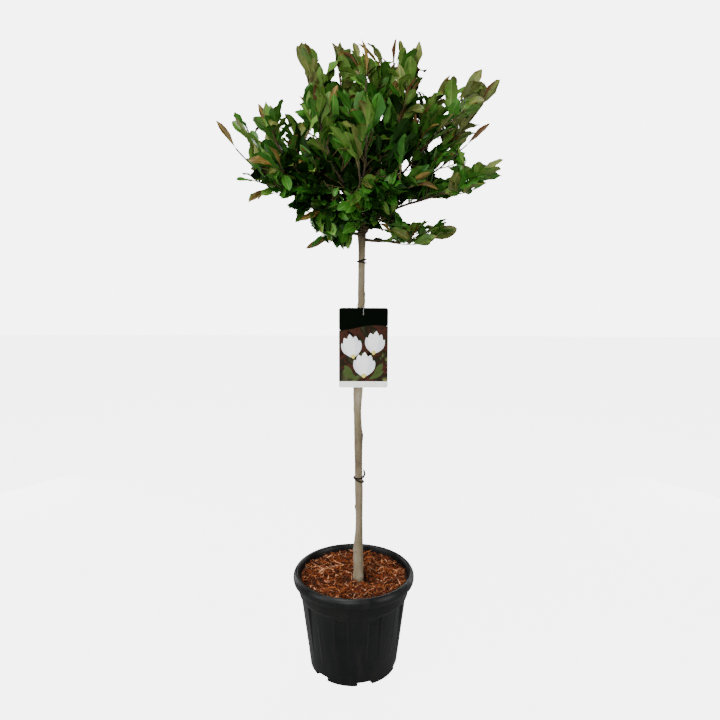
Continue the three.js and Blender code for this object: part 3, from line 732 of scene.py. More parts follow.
def make_trunk():
    """The stem: rings up its line whose radius is the eased girth, times long swells, plus knots
    (a bell over height and arc), level wrinkles, fine grain and three root flanges at its foot."""
    foot, top = TRUNK_LINE[[0, -1], 0]
    height = np.arange(foot, top + 0.5, 1.6)
    smooth = np.exp(-0.5 * (np.arange(-24, 25) / 6) ** 2)
    smooth /= smooth.sum()

    def eased(values):
        return np.convolve(np.pad(values, 24, mode="edge"), smooth, "valid")

    sides = 64
    turn = np.arange(sides) / sides
    line = np.column_stack([eased(trunk_x(height)), 1.2 * np.sin(height / 170), height])
    around, along = np.broadcast_arrays(turn[None], height[:, None])
    swells = relief(around, along / 90, seed=11, waves=10, turns=3, pace=1)
    radius = eased(trunk_radius(height))[:, None] * (1 + 0.022 * swells)
    for at, bearing, tall, wide, proud in KNOTS:
        off = (around * 360 - bearing + 180) % 360 - 180
        arc = np.radians(off) * radius
        bell = np.exp(-(((along - at) / tall) ** 2) - (arc / wide) ** 2)
        rim = np.exp(-((np.hypot((along - at) / tall, arc / wide) - 1) ** 2) / 0.12)
        radius = radius + proud * bell + 0.12 * proud * rim
    flange = np.cos(np.radians(3 * (around * 360 - 200))) * 0.5 + 0.5
    radius = radius + 1.2 * flange * np.exp(-(((along - 238) / 9) ** 2))
    wrinkle = relief(around, along / 9, seed=21, waves=24, turns=4, pace=1.4)
    grain = relief(around, along / 60, seed=31, waves=24, turns=26, pace=2)
    rough = 1 + 1.5 * ease(along, 345, 300)
    radius = radius + (0.2 * np.abs(wrinkle) + 0.12 * grain) * rough
    angle = 2 * np.pi * around
    rings = line[:, None] + np.stack(
        [radius * np.cos(angle), radius * np.sin(angle), np.zeros_like(radius)], -1
    )
    points, quads, ends = skin(rings[None])
    trunk = build("stem", points, [quads, *ends], [STEM_BARK], sharp=70)
    take_over(trunk, "stem_bark", "trunk")


# ---- Label and ties ----

LABEL = {
    "width": 124.5, "height": 204, "x": 23.7, "top": 968.7, "front": -14.3, "thick": 0.9, "corner": 5.5,
    "hole": 2.2, "drop": 16,
}
FILM = 0.12  # how far a printed panel stands proud of what is under it
PANEL = {"side": 0.05, "head_drop": 49, "foot": 16, "split": 36}


def card_y(x):
    """The card's front as it bows: a parabola across its width, most forward at its sides."""
    return LABEL["front"] - 1.2 * ((x - LABEL["x"]) / (LABEL["width"] / 2)) ** 2


def plate(outline, middle, hole, proud, thick, number):
    """A thin plate with a round hole, or none: rings of points run from the hole's edge to the
    outline over the front and back over the rear, following the card's bow."""
    outline = np.asarray(outline, float)
    middle = np.asarray(middle, float)
    inner = middle + unit(outline - middle) * max(hole, 0.4)
    rows = []
    front = [(share, 0) for share in (0, 0.15, 0.4, 0.7, 1)]
    for share, back in [(0, 1), *front, (1, 1), (0.7, 1), (0.4, 1), (0.15, 1)]:
        flat = inner + (outline - inner) * share
        y = card_y(flat[:, 0]) - proud + back * thick
        rows.append(np.column_stack([flat[:, 0], y, flat[:, 1]]))
    rings = np.array(rows).transpose(1, 0, 2)[None]
    points, quads, _ = skin(rings, wrapped=True)
    return points, [quads], [number]


def box_outline(left, right, bottom, top, round_by, head=None):
    """A rounded rectangle's outline, anticlockwise seen from the front. head, where given, is the
    top edge's height as a function of x."""
    outline = []
    for cx, cz, start in ((right, bottom, -90), (right, top, 0), (left, top, 90), (left, bottom, 180)):
        inward = (round_by if cx == left else -round_by, round_by if cz == bottom else -round_by)
        for turn in np.radians(np.linspace(start, start + 90, 5)):
            away = round_by * np.cos(turn), round_by * np.sin(turn)
            outline.append([cx + inward[0] + away[0], cz + inward[1] + away[1]])
        if cx == right and cz == top:
            outline += [[x, top] for x in np.linspace(right - round_by, left + round_by, 18)[1:-1]]
        elif cx == right:
            outline += [[right, z] for z in np.linspace(bottom + round_by, top - round_by, 10)[1:-1]]
        elif cz == top:
            outline += [[left, z] for z in np.linspace(top - round_by, bottom + round_by, 10)[1:-1]]
        else:
            outline += [[x, bottom] for x in np.linspace(left + round_by, right - round_by, 18)[1:-1]]
    outline = np.array(outline)
    if head is not None:
        over = (outline[:, 1] - bottom) / (top - bottom)
        outline[:, 1] = bottom + over * (head(outline[:, 0]) - bottom)
    return outline


def head_edge(x):
    """The head panel's lower edge: a slow wave that rises to the right and dips again."""
    share = (x - LABEL["x"]) / LABEL["width"]
    return LABEL["top"] - PANEL["head_drop"] - 2 + 7 * np.sin(4 * share + 0.6)


def petal(x, z, length, width, lean):
    """A petal's outline: its half width is a power of the sine of the way along, and broadest a
    little above the middle."""
    share = np.linspace(0, 1, 13)
    half = width / 2 * np.sin(np.pi * share**1.25) ** 0.75
    right = np.column_stack([half, share * length])
    left = np.column_stack([-half, share * length])[::-1][1:-1]
    shape = np.concatenate([right, left])
    turn = np.radians(lean)
    spun = shape @ np.array([[np.cos(turn), np.sin(turn)], [-np.sin(turn), np.cos(turn)]])
    return spun + [x, z]


# The picture: pale buds over dark leaves. x from the card's middle, foot above its bottom, length,
# width and lean of each.
BUDS = [(-25, 76, 62, 34, 10), (25, 86, 60, 33, -8), (1, 26, 66, 37, -2)]
LEAVES_DRAWN = [
    (-24, 26, 40, 15, 38), (-12, 20, 46, 15, 62), (26, 28, 42, 15, -34), (14, 21, 44, 14, -60),
]


def make_label():
    left, right = LABEL["x"] - LABEL["width"] / 2, LABEL["x"] + LABEL["width"] / 2
    bottom = LABEL["top"] - LABEL["height"]
    hole = (LABEL["x"], LABEL["top"] - LABEL["drop"])
    card = box_outline(left, right, bottom, LABEL["top"], LABEL["corner"])
    edge, split = PANEL["side"], LABEL["top"] - PANEL["split"]
    head = box_outline(left + edge, right - edge, split, LABEL["top"] - edge, LABEL["corner"])
    start = LABEL["top"] - LABEL["corner"] - 1
    drop = np.clip((start - head[:, 1]) / (start - split), 0, 1)
    head[:, 1] += drop * (head_edge(head[:, 0]) - split)
    picture = box_outline(left + edge, right - edge, bottom + PANEL["foot"], split, 1.0, head_edge)
    parts = [
        plate(card, hole, LABEL["hole"], 0, LABEL["thick"], 0),
        plate(head, hole, LABEL["hole"] + 0.05, FILM, FILM * 0.9, 1),
        plate(picture, (LABEL["x"], bottom + 80), 0, FILM, FILM * 0.9, 2),
    ]
    for x, z, length, width, lean in LEAVES_DRAWN:
        outline = petal(LABEL["x"] + x, bottom + z, length, width, lean)
        parts.append(plate(outline, outline.mean(0), 0, FILM * 2, FILM, 5))
    for x, z, length, width, lean in BUDS:
        foot = np.array([LABEL["x"] + x, bottom + z])
        shapes = [(30, 0.78, 6), (-30, 0.78, 6), (15, 0.92, 3), (-15, 0.92, 6), (0, 1.0, 3)]
        for layer, (tilt, scale, number) in enumerate(shapes):
            outline = petal(*foot, length * scale, width * 0.6, lean + tilt)
            parts.append(plate(outline, outline.mean(0), 0, FILM * (3 + layer), FILM, number))
        cup = petal(*foot - [0, 2], length * 0.2, width * 0.34, lean)
        parts.append(plate(cup, cup.mean(0), 0, FILM * 8, FILM, 4))
    points, polygons, numbers = joined(parts)
    prints = [LABEL_CARD, LABEL_HEAD, LABEL_GROUND, LABEL_PETAL, LABEL_HEART, LABEL_LEAF, LABEL_SHADE]
    label = build("plant_label", points, polygons, prints, numbers, 40)
    take_over(label, "label_card", "label")


STRAP = {"radius": 0.8, "height": 981, "play": 1.35}
TIE_RADIUS = 1.85
TIE_PLAY = 0.85  # between a tie and the stem
UPPER_TIE = (1084, (1089.5, 1080.5))  # height at the left, and at the right of each turn
LOWER_TIE = (520, (521, 508))
TIE_LOOP = {"top": 540, "bulge": 3.4, "depth": 4}  # the slack loop at the lower tie's right


def make_strap():
    """The strap round the stem's back, over the card's top edge and through its hole."""
    wrap = trunk_radius(STRAP["height"]) + STRAP["radius"] + STRAP["play"]
    middle = trunk_x(STRAP["height"])
    off = STRAP["radius"] + 0.8
    back = LABEL["front"] + LABEL["thick"]
    hole = LABEL["top"] - LABEL["drop"]

    def beside(turn, height):
        return [middle + wrap * np.cos(np.radians(turn)), wrap * np.sin(np.radians(turn)), height]

    x = LABEL["x"]
    route = [
        *(beside(turn, STRAP["height"]) for turn in (90, 30, -30)),
        [x + 1, back, LABEL["top"] + off + 2.5], [x, LABEL["front"] - off, LABEL["top"] - 1],
        [x, LABEL["front"] - off, hole + 3], [x, LABEL["front"] + 0.5, hole],
        [x - 0.5, back + off, hole + 4], beside(208, STRAP["height"] - 12),
        beside(150, STRAP["height"] - 5),
    ]
    rings = tube(spline(route, 12, True), STRAP["radius"], 10, True)
    points, quads, _ = skin(rings[None], wrapped=True)
    strap = build("label_cord", points, [quads], [STRAP_GREY], sharp=80)
    take_over(strap, "strap_plastic", "label_strap")


def tie_turns(left, rights):
    """Turns of tie tube round the stem: level circles sheared so that left and right differ."""
    parts = []
    for right in rights:
        height = (left + right) / 2
        reach = trunk_radius(height) + TIE_RADIUS + TIE_PLAY
        turn = np.radians(np.arange(48) * 7.5)
        climb = np.cos(turn) * (right - left) / 2
        x, y = trunk_x(height) + reach * np.cos(turn), reach * np.sin(turn)
        line = np.column_stack([x, y, height + climb])
        points, quads, _ = skin(tube(line, TIE_RADIUS, 10, True)[None], wrapped=True)
        parts.append((points, [quads], [0]))
    return parts


def make_ties():
    points, polygons, numbers = joined(tie_turns(*UPPER_TIE))
    take_over(build("tie_upper", points, polygons, [TIE_BROWN], numbers, 80), "tie_rubber", "upper_tie")
    parts = tie_turns(*LOWER_TIE)
    right = LOWER_TIE[1][0]
    edge = trunk_x(right) + trunk_radius(right) + TIE_RADIUS + TIE_PLAY
    middle = (right + TIE_LOOP["top"]) / 2
    out, deep = TIE_LOOP["bulge"], TIE_LOOP["depth"] / 2
    loop = [
        [edge, 0, right], [edge + out, -deep, middle], [edge + 0.5, 0, TIE_LOOP["top"]],
        [edge + out / 2, deep, middle],
    ]
    points, quads, _ = skin(tube(spline(loop, 10, True), TIE_RADIUS, 10, True)[None], wrapped=True)
    parts.append((points, [quads], [0]))
    points, polygons, numbers = joined(parts)
    take_over(build("tie_lower", points, polygons, [TIE_BROWN], numbers, 80), "tie_rubber", "lower_tie")


# ---- Crown: the shoots ----

# Each shoot springs from the head and bends to its tip. az is its bearing (0 is right, 90 is back),
# reach and tip are how far out and how high its last leaf ends, foot is the height where it leaves
# the stem. Its elbow lies a share out of the reach away and elbow above the foot. twigs and sprigs
# are how many side twigs and short inner ones it may bear, and lift is how far its leaves turn up.
# No leaf points the way that bare gives, seen from the front (0 is right, 90 is up). tuft is how
# many leaves stand round the last one, and young says whether that is a young one, or None by
# chance.
HABIT = {
    "out": 0.6, "elbow": 60, "twigs": 4, "sprigs": 14, "lift": 0.4, "bare": None, "tuft": 3,
    "young": None,
}
SHOOTS = {
    "left_low": {
        "az": 190, "reach": 347, "tip": 1409, "foot": 1204, "out": 0.72, "elbow": 30, "twigs": 3,
        "lift": 0.3, "bare": 215, "tuft": 1, "young": True,
    },
    "left_droop": {
        "az": 208, "reach": 291, "tip": 1212, "foot": 1186, "out": 0.66, "elbow": 124, "twigs": 3,
        "lift": -0.4,
    },
    "left_mid": {
        "az": 201, "reach": 254, "tip": 1437, "foot": 1212, "out": 0.8, "twigs": 5, "lift": 0.5,
        "bare": 250,
    },
    "left_top": {"az": 176, "reach": 150, "tip": 1606, "foot": 1228, "out": 0.75, "elbow": 148},
    "centre_left_top": {"az": 138, "reach": 91, "tip": 1624, "foot": 1240, "elbow": 160, "lift": 0.3},
    "centre_right_top": {
        "az": -80, "reach": 61, "tip": 1588, "foot": 1240, "out": 0.8, "elbow": 160, "lift": 0.3,
    },
    "right_top": {
        "az": 30, "reach": 101, "tip": 1630, "foot": 1240, "out": 0.7, "elbow": 167, "lift": 0.3,
    },
    "right_crest": {
        "az": -24, "reach": 149, "tip": 1583, "foot": 1232, "out": 0.7, "elbow": 150, "lift": 0.3,
    },
    "right_inner": {"az": 5, "reach": 211, "tip": 1535, "foot": 1222, "elbow": 130},
    "right_upper": {"az": -11, "reach": 283, "tip": 1528, "foot": 1212, "out": 0.55, "elbow": 116},
    "right_far": {
        "az": 14, "reach": 362, "tip": 1546, "foot": 1204, "elbow": 122, "twigs": 3, "lift": 0.3,
    },
    "right_mid": {"az": 2, "reach": 314, "tip": 1421, "foot": 1184, "elbow": 112, "twigs": 3},
    "right_low": {
        "az": -30, "reach": 354, "tip": 1301, "foot": 1194, "out": 0.8, "elbow": 46, "twigs": 3,
        "lift": 0.8, "bare": -90, "tuft": 5,
    },
    "right_spur": {
        "az": -5, "reach": 236, "tip": 1166, "foot": 1138, "out": 0.7, "elbow": -18, "twigs": 1,
        "sprigs": 6, "lift": 1, "bare": -90,
    },
    "front_right": {"az": -52, "reach": 236, "tip": 1270, "foot": 1174, "elbow": 92, "lift": 0.2},
    "front_mid": {"az": -92, "reach": 272, "tip": 1330, "foot": 1200, "elbow": 56, "lift": -0.1},
    "front_left": {"az": -128, "reach": 176, "tip": 1472, "foot": 1222, "out": 0.8, "elbow": 62},
    "front_centre": {"az": -86, "reach": 180, "tip": 1441, "foot": 1229, "out": 0.75, "elbow": 63},
    "front_low": {
        "az": -132, "reach": 206, "tip": 1172, "foot": 1164, "elbow": 70, "sprigs": 7, "lift": -0.6,
    },
    "front_under": {
        "az": -68, "reach": 178, "tip": 1148, "foot": 1148, "elbow": 44, "sprigs": 7, "lift": -0.7,
    },
    "left_under": {
        "az": 187, "reach": 141, "tip": 1116, "foot": 1152, "elbow": 4, "twigs": 2, "sprigs": 3,
        "lift": -0.6,
    },
    "back_left": {"az": 150, "reach": 300, "tip": 1432, "foot": 1214, "elbow": 64},
    "back_mid": {"az": 98, "reach": 292, "tip": 1470, "foot": 1210, "elbow": 90, "twigs": 8},
    "back_right": {"az": 50, "reach": 300, "tip": 1440, "foot": 1190, "elbow": 80, "twigs": 7},
    "back_low_left": {
        "az": 122, "reach": 256, "tip": 1240, "foot": 1180, "elbow": 50, "twigs": 6, "lift": -0.3,
    },
    "back_low_right": {"az": 66, "reach": 262, "tip": 1256, "foot": 1166, "twigs": 6, "lift": -0.3},
}
# A shoot's first stretch is its bough. foot and tip are radii.
BOUGH = {"length": 62, "inset": 0.6, "foot": 4.2, "tip": 3.1}
STEM_TIP = 1.7
# Side twigs stand from one share of a shoot on, over the next share of it, and any shoot may bear
# so many more than its own count. Spurs stand on them, and sprigs, which are as thin, on the
# shoot's inner part.
TWIG = {
    "length": 88, "spread": 48, "lift": 0.45, "foot": 1.9, "tip": 1.0, "more": 2, "from": 0.25,
    "over": 0.68,
}
SPUR = {"length": 34, "spread": 46, "lift": 0.3, "foot": 1.2, "tip": 0.8, "at": (0.38, 0.7)}
SPRIG = {"length": 58, "spread": 66, "lift": 0.25, "from": 0.03, "to": 0.62}
LEAF = {"length": 76, "width": 29, "spread": 56, "closing": 0.35, "roll": 120}
LEAF_SIZE = {"foot": 0.8, "gain": 0.25}  # at a limb's foot, and how much more at its tip
# The leaves of each kind of limb: from what share of it on, their size, the room between them and
# how far the last one turns away from the limb.
STEM_LEAVES = {"start": 0.04, "size": 1.0, "gap": 19, "top": 30}
TWIG_LEAVES = {"start": 0.3, "size": 0.95, "gap": 15, "top": 6}
SPUR_LEAVES = {"start": 0.35, "size": 0.85, "gap": 14, "top": 6}
TUFT = {"first": 40, "turn": 120, "spread": 24, "size": 0.95}  # the leaves round a shoot's last one
VIGOUR = ([1120, 1230, 1400, 1600], [0.93, 0.93, 1.0, 1.1])  # height, and the leaves' size there
BARE_WITHIN = 62  # degrees to either side of the way that is bare
# A young leaf: its width over its length, how often one ends a shoot and a twig, and how high the
# twigs are that bear none and that bear them all.
YOUNG = {"width": 0.19, "tip": 0.5, "twig_tip": 0.25, "from": ([1200, 1400], [0, 1])}
# Thin shoots that bear more leaves: from what share on, how large and how close.
FILLED = [
    ("left_low", 0.5, 0.75, 9), ("right_crest", 0.3, 0.9, 10), ("left_top", 0.2, 0.9, 10),
    ("left_droop", 0.45, 0.9, 10), ("right_far", 0.45, 0.9, 12), ("right_low", 0.5, 0.8, 12),
]
CROWDING = 0.85  # under 1, leaves stand closer towards a limb's tip
LEAF_ROOM = 7.5  # the least, between the middles of two leaves
OWN_SPACE_SLACK = 22  # how much nearer to another shoot's line than to its own a point may lie
REACH_SLACK = 5  # and how far past a shoot's reach
STEM_ROOM = 4  # between the stem and any leaf
TRIES = 14
SHRINK = 0.97  # of its size for each try that found no room
HEART = np.array([19, 0, 1250])  # the middle of the crown's foot
CROWN_REACH = [330, 280, 360]  # from its heart to the crown's sides, front and crest
BRONZE, RUST = TINT_NAMES.index("bronze"), TINT_NAMES.index("rust")
TINT_BOUNDS = [0.46, 0.57, 0.72, 0.93]  # between shade, deep, mid, fresh and olive
EDGED_SHARES = np.array([0, 0.04, 0.12, 0.4, 0.6, 0, 0])  # of each tint's leaves with bronze edges
ODD_BRONZE = 0.015  # of a spray's leaves, times its tint's number
ODD_TINT = 0.3  # of them have the tint before or after it


def rotated(vector, axis, angle):
    """A vector square to an axis, turned round it."""
    turn = np.radians(angle)
    return vector * np.cos(turn) + np.cross(axis, vector) * np.sin(turn)


def square_to(line, angle):
    """A direction square to a line, level where it can be, turned by an angle round the line."""
    other = np.array([0.0, 1.0, 0.0]) if abs(line[2]) > 0.96 else UP
    return rotated(unit(np.cross(line, other)), line, angle)


def branch_off(line, spread, bearing, lift):
    """A direction turned away from a line by a spread, at a bearing round it, and lifted."""
    turn = np.radians(spread)
    direction = line * np.cos(turn) + square_to(line, bearing) * np.sin(turn)
    return unit(direction + lift * UP)


def bezier(start, bend, end, count):
    """Points on the quadratic curve from start to end drawn towards bend, evenly spaced."""
    t = np.linspace(0, 1, 121)[:, None]
    line = start * (1 - t) ** 2 + 2 * bend * t * (1 - t) + end * t**2
    way = np.concatenate([[0], np.cumsum(np.linalg.norm(np.diff(line, axis=0), axis=1))])
    even = np.linspace(0, way[-1], count)
    return np.column_stack([np.interp(even, way, line[:, k]) for k in range(3)])


def length_of(line):
    return np.linalg.norm(np.diff(line, axis=0), axis=1).sum()


def at_share(line, share):
    """The place and the direction at a share of an evenly spaced line."""
    spot = share * (len(line) - 1)
    k = int(np.clip(spot, 0, len(line) - 2))
    step = line[k + 1] - line[k]
    return line[k] + step * (spot - k), unit(step)


def start_shoot(number, name, sizes):
    """A shoot: its whole curve, and its limb, which stops where its last leaf begins."""
    shoot = {**HABIT, **sizes}
    az = np.radians(shoot["az"])
    bearing = np.array([np.cos(az), np.sin(az), 0.0])
    axis_x = trunk_x(shoot["foot"])

    def place(height, distance):
        return np.array([axis_x, 0.0, height]) + bearing * distance

    start = place(shoot["foot"], BOUGH["inset"] * trunk_radius(shoot["foot"]))
    elbow = place(shoot["foot"] + shoot["elbow"], shoot["reach"] * shoot["out"])
    curve = bezier(start, elbow, place(shoot["tip"], shoot["reach"]), 121)
    length = length_of(curve)
    stop = 1 - LEAF["length"] / length
    limb = np.array([at_share(curve, s)[0] for s in np.linspace(0, stop, 41)])
    return {
        **shoot, "name": name, "number": number, "axis_x": axis_x, "length": length, "limb": limb,
        "curve": curve[::8], "end": curve[-1], "heading": at_share(curve, 1)[1],
        "foot_share": BOUGH["length"] / length / stop,
    }


# The crown's outline as the eye sees it, from its far left over the crest to its far right and back
# below, and the larger openings in it: right and down from the top left of the 720 wide view.
OUTLINE = [
    (213, 117), (228, 127), (228, 112), (238, 111), (248, 127), (247, 134), (254, 127), (244, 114),
    (253, 107), (258, 100), (264, 99), (270, 104), (280, 98), (291, 99), (286, 108), (277, 125),
    (283, 112), (292, 109), (298, 98), (304, 87), (309, 81), (311, 78), (303, 68), (296, 64),
    (295, 45), (299, 39), (311, 41), (318, 52), (321, 63), (327, 77), (328, 70), (334, 68), (336, 80),
    (343, 78), (327, 63), (337, 64), (333, 52), (333, 39), (341, 40), (350, 51), (351, 56), (349, 44),
    (350, 39), (358, 42), (363, 38), (370, 37), (378, 49), (383, 51), (386, 60), (398, 57), (395, 34),
    (402, 38), (407, 52), (415, 41), (424, 45), (421, 54), (416, 61), (415, 68), (425, 69), (431, 76),
    (424, 81), (424, 93), (439, 93), (435, 78), (442, 82), (445, 74), (453, 73), (460, 80), (461, 90),
    (467, 84), (472, 74), (478, 65), (485, 70), (487, 87), (496, 76), (500, 79), (491, 92), (488, 100),
    (482, 106), (483, 112), (474, 120), (463, 124), (452, 131), (464, 128), (475, 122), (482, 117),
    (492, 118), (491, 124), (474, 128), (456, 133), (457, 137), (468, 131), (477, 129), (479, 134),
    (466, 141), (464, 147), (457, 149), (464, 151), (467, 158), (466, 168), (471, 168), (475, 161),
    (482, 161), (485, 168), (490, 159), (498, 156), (505, 161), (502, 176), (496, 185), (484, 191),
    (462, 196), (450, 200), (416, 200), (402, 202), (401, 208), (394, 210), (399, 216), (403, 222),
    (408, 226), (413, 218), (419, 221), (430, 220), (432, 226), (444, 217), (449, 219), (448, 227),
    (460, 229), (450, 238), (446, 240), (450, 249), (444, 248), (437, 243), (425, 246), (400, 247),
    (393, 243), (383, 244), (366, 242), (366, 238), (376, 236), (392, 239), (390, 230), (385, 221),
    (378, 217), (378, 224), (389, 229), (387, 232), (372, 231), (366, 228), (357, 232), (351, 232),
    (352, 250), (343, 250), (338, 250), (333, 246), (326, 243), (321, 240), (312, 251), (304, 250),
    (305, 245), (316, 238), (303, 235), (303, 233), (317, 233), (311, 229), (309, 221), (314, 209),
    (304, 211), (301, 222), (298, 227), (294, 225), (295, 212), (285, 220), (283, 217), (290, 209),
    (286, 208), (286, 203), (292, 200), (281, 200), (274, 194), (262, 197), (248, 208), (244, 204),
    (252, 195), (262, 190), (276, 190), (262, 184), (258, 181), (248, 182), (234, 180), (240, 173),
    (250, 171), (249, 163), (243, 152), (231, 141), (236, 138), (222, 131),
]
OPENINGS = [
    [(233, 131), (238, 142), (247, 155), (247, 148), (240, 137)],
    [(257, 131), (262, 143), (268, 139)],
    [(311, 128), (311, 134), (317, 139), (321, 135), (314, 130)],
    [(401, 163), (404, 174), (408, 179), (412, 170), (416, 155), (408, 157)],
    [(434, 167), (437, 177), (447, 181), (452, 177), (452, 163), (445, 161)],
    [(428, 144), (431, 158), (434, 146), (441, 139), (433, 141)],
    [(364, 78), (366, 82), (369, 77), (367, 75)],
    [(302, 186), (305, 190), (307, 187), (304, 182)],
    [(408, 189), (411, 194), (414, 191), (411, 187)],
    [(312, 235), (320, 232), (326, 240), (319, 238)],
]
# A hollow in the crown's front, through which its shaded heart is seen, and how near to the eye a
# leaf may stand before it.
HEART_VIEW = [
    (322, 154), (345, 150), (352, 160), (362, 150), (374, 124), (392, 128), (398, 150), (400, 180),
    (386, 180), (372, 172), (354, 192), (338, 204), (324, 192),
]
HEART_FRONT = -125


def edges(rings):
    """The corners of some outlines, and for each the next one round."""
    rings = [np.array(ring, float) for ring in rings]
    return np.concatenate(rings), np.concatenate([np.roll(ring, -1, 0) for ring in rings])


OUTLINE_EDGES = edges([OUTLINE, *OPENINGS])
HEART_EDGES = edges([HEART_VIEW])


def inside(points, outline):
    """Whether each point is seen inside an outline: a level line from it crosses the edges oddly."""
    x, y = seen(points).T[..., None]
    corners, following = outline
    low, high = corners[:, 1], following[:, 1]
    spans = (low > y) != (high > y)
    crossing = corners[:, 0] + (y - low) / (high - low + 1e-9) * (following[:, 0] - corners[:, 0])
    return (spans & (x < crossing)).sum(1) % 2 == 1


def in_view(points):
    """Whether points all lie inside the crown's outline and leave its heart open."""
    before = points[:, 1] < HEART_FRONT
    return inside(points, OUTLINE_EDGES).all() and not (before & inside(points, HEART_EDGES)).any()


shoots = [start_shoot(number, *own) for number, own in enumerate(SHOOTS.items())]
shoot_lines = np.array([shoot["curve"] for shoot in shoots])
leaf_marks = np.zeros((0, 3))
leaves = []
twigs = []


def keeps_space(points, shoot):
    """Whether points lie within a shoot's reach, nearest its own line, and clear of the stem."""
    points = np.asarray(points)
    if ((points - shoot["end"]) @ shoot["heading"] > REACH_SLACK).any():
        return False
    if (np.hypot(points[:, 0] - shoot["axis_x"], points[:, 1]) > shoot["reach"] + REACH_SLACK).any():
        return False
    away = np.linalg.norm(points[:, None, None] - shoot_lines[None], axis=-1).min(-1)
    own = away[:, shoot["number"]] - OWN_SPACE_SLACK
    away[:, shoot["number"]] = np.inf
    if (away.min(1) < own).any():
        return False
    low = points[:, 2] < TRUNK_LINE[-1, 0]
    off = np.hypot(points[:, 0] - trunk_x(points[:, 2]), points[:, 1])
    near = off < trunk_radius(points[:, 2]) + STEM_ROOM
    return not (low & near).any()


def points_bare(shoot, direction):
    """Whether a direction points where the shoot is bare, seen from the front."""
    if shoot["bare"] is None:
        return False
    bare = np.radians(shoot["bare"])
    return direction[0] * np.cos(bare) + direction[2] * np.sin(bare) > np.cos(np.radians(BARE_WITHIN))


def grow_leaf(shoot, limb, share, bearing, spread, size, tint, young=False):
    """Grows a leaf from a limb, turned and made a little smaller until it has room, or none."""
    global leaf_marks
    place, line = at_share(limb, share)
    vigour = np.interp(place[2], *VIGOUR)
    for attempt in range(TRIES):
        length = LEAF["length"] * size * vigour * dice.uniform(0.82, 1.16) * SHRINK**attempt
        lift = shoot["lift"] * (spread / LEAF["spread"]) * dice.uniform(0.5, 1.5)
        direction = branch_off(line, spread + 16 * (dice.random() - 0.5), bearing + 47 * attempt, lift)
        marks = place + direction * np.array([[0.4], [0.68], [0.97]]) * length
        if points_bare(shoot, direction) or not keeps_space(marks[1:], shoot):
            continue
        away = np.linalg.norm(marks[:, None] - leaf_marks[None], axis=-1)
        if len(leaf_marks) and away.min() < LEAF_ROOM:
            continue
        leaf = new_leaf(shoot, place, direction, length, tint, young)
        if in_view(leaf_spots(leaf)):
            leaf_marks = np.concatenate([leaf_marks, marks])
            leaves.append(leaf)
            return


def new_leaf(shoot, place, direction, length, tint, young=False, last=False):
    """A leaf to make. A young one is narrow and bronze or rust. A shoot's last leaf is straighter
    and stands on edge."""
    if last:
        roll = dice.choice([-1, 1]) * dice.uniform(50, 80)
    else:
        roll = LEAF["roll"] * (dice.random() - 0.5)
    slimness = YOUNG["width"] if young else LEAF["width"] / LEAF["length"]
    width = length * slimness * dice.uniform(0.82, 1.2)
    curl = dice.normal(0.4, 0.45) * (1.4 if young else 1) * (0.25 if last else 1)
    if young:
        tint = int(dice.choice([BRONZE, RUST]))
    return {
        "shoot": shoot["name"], "place": place, "direction": direction, "roll": roll,
        "length": length, "width": width, "tint": tint, "young": young, "curl": curl,
    }


def arc(length, curl, share):
    """How far ahead and how far down a midrib that turns by its curl lies at each share of it."""
    curl = np.where(np.abs(curl) < 0.06, 0.06, curl)
    return length * np.sin(curl * share) / curl, length * (1 - np.cos(curl * share)) / curl


def leaf_spots(leaf):
    """Points along a leaf's midrib, and at both its sides where it is broad."""
    direction = leaf["direction"]
    across = square_to(direction, leaf["roll"])
    ahead, drop = arc(leaf["length"], leaf["curl"], np.array([0.25, 0.4, 0.55, 0.7, 0.85, 1.0]))
    down = np.cross(across, direction) * drop[:, None]
    middle = leaf["place"] + direction * ahead[:, None] - down
    aside = across * leaf["width"] * 0.3
    return np.concatenate([middle[1:], middle[2:5] + aside, middle[2:5] - aside])


def spray_tint(place):
    """A spray's tint, by how far out and how high or low it is: painted shade and light, darkest
    (shade) within the crown's heart, lighter further out to olive outside, and lighter again low down
    under the crown.
    """
    out = np.linalg.norm((place - HEART) / CROWN_REACH)
    # Low sprays score higher as well: painted light on the leaves under the crown, where its shadow
    # falls.
    high = max((place[2] - 1150) / 450, min(1.0, (1280 - place[2]) / 130))
    score = 0.8 * out + 0.25 * high + dice.normal(0, 0.1)
    return int(np.searchsorted(TINT_BOUNDS, score))


def leaf_tint(tint):
    """One leaf's tint: its spray's, or now and then a neighbouring one."""
    if dice.random() < ODD_BRONZE * tint:
        return BRONZE
    if dice.random() < ODD_TINT:
        return int(np.clip(tint + dice.choice([-1, 1]), 0, BRONZE - 1))
    return tint


def grow_leaves(shoot, limb, start, size, gap, top):
    """Leaves along a limb by the golden angle, closer towards its tip, from the last one back."""
    tint = spray_tint(limb[-1])
    gap = gap * np.interp(limb[-1][2], *VIGOUR)
    count = max(2, round(length_of(limb) * (1 - start) / gap))
    bearing = dice.uniform(0, 360)
    for i in range(count, -1, -1):
        share = start + (1 - start) * (i / count) ** CROWDING
        spread = top if i == count else LEAF["spread"] * (1 - LEAF["closing"] * share)
        # Leaves on a limb's inner part take the tint of their own place, darker towards the heart as
        # painted shade.
        inner = spray_tint(at_share(limb, share)[0]) if share < 0.6 else tint
        own_size = size * (LEAF_SIZE["foot"] + LEAF_SIZE["gain"] * share)
        ripe = np.interp(limb[-1][2], *YOUNG["from"])
        young = i == count and top < STEM_LEAVES["top"] and dice.random() < YOUNG["twig_tip"] * ripe
        grow_leaf(shoot, limb, share, bearing, spread, own_size, leaf_tint(inner), young)
        bearing += GOLDEN_ANGLE


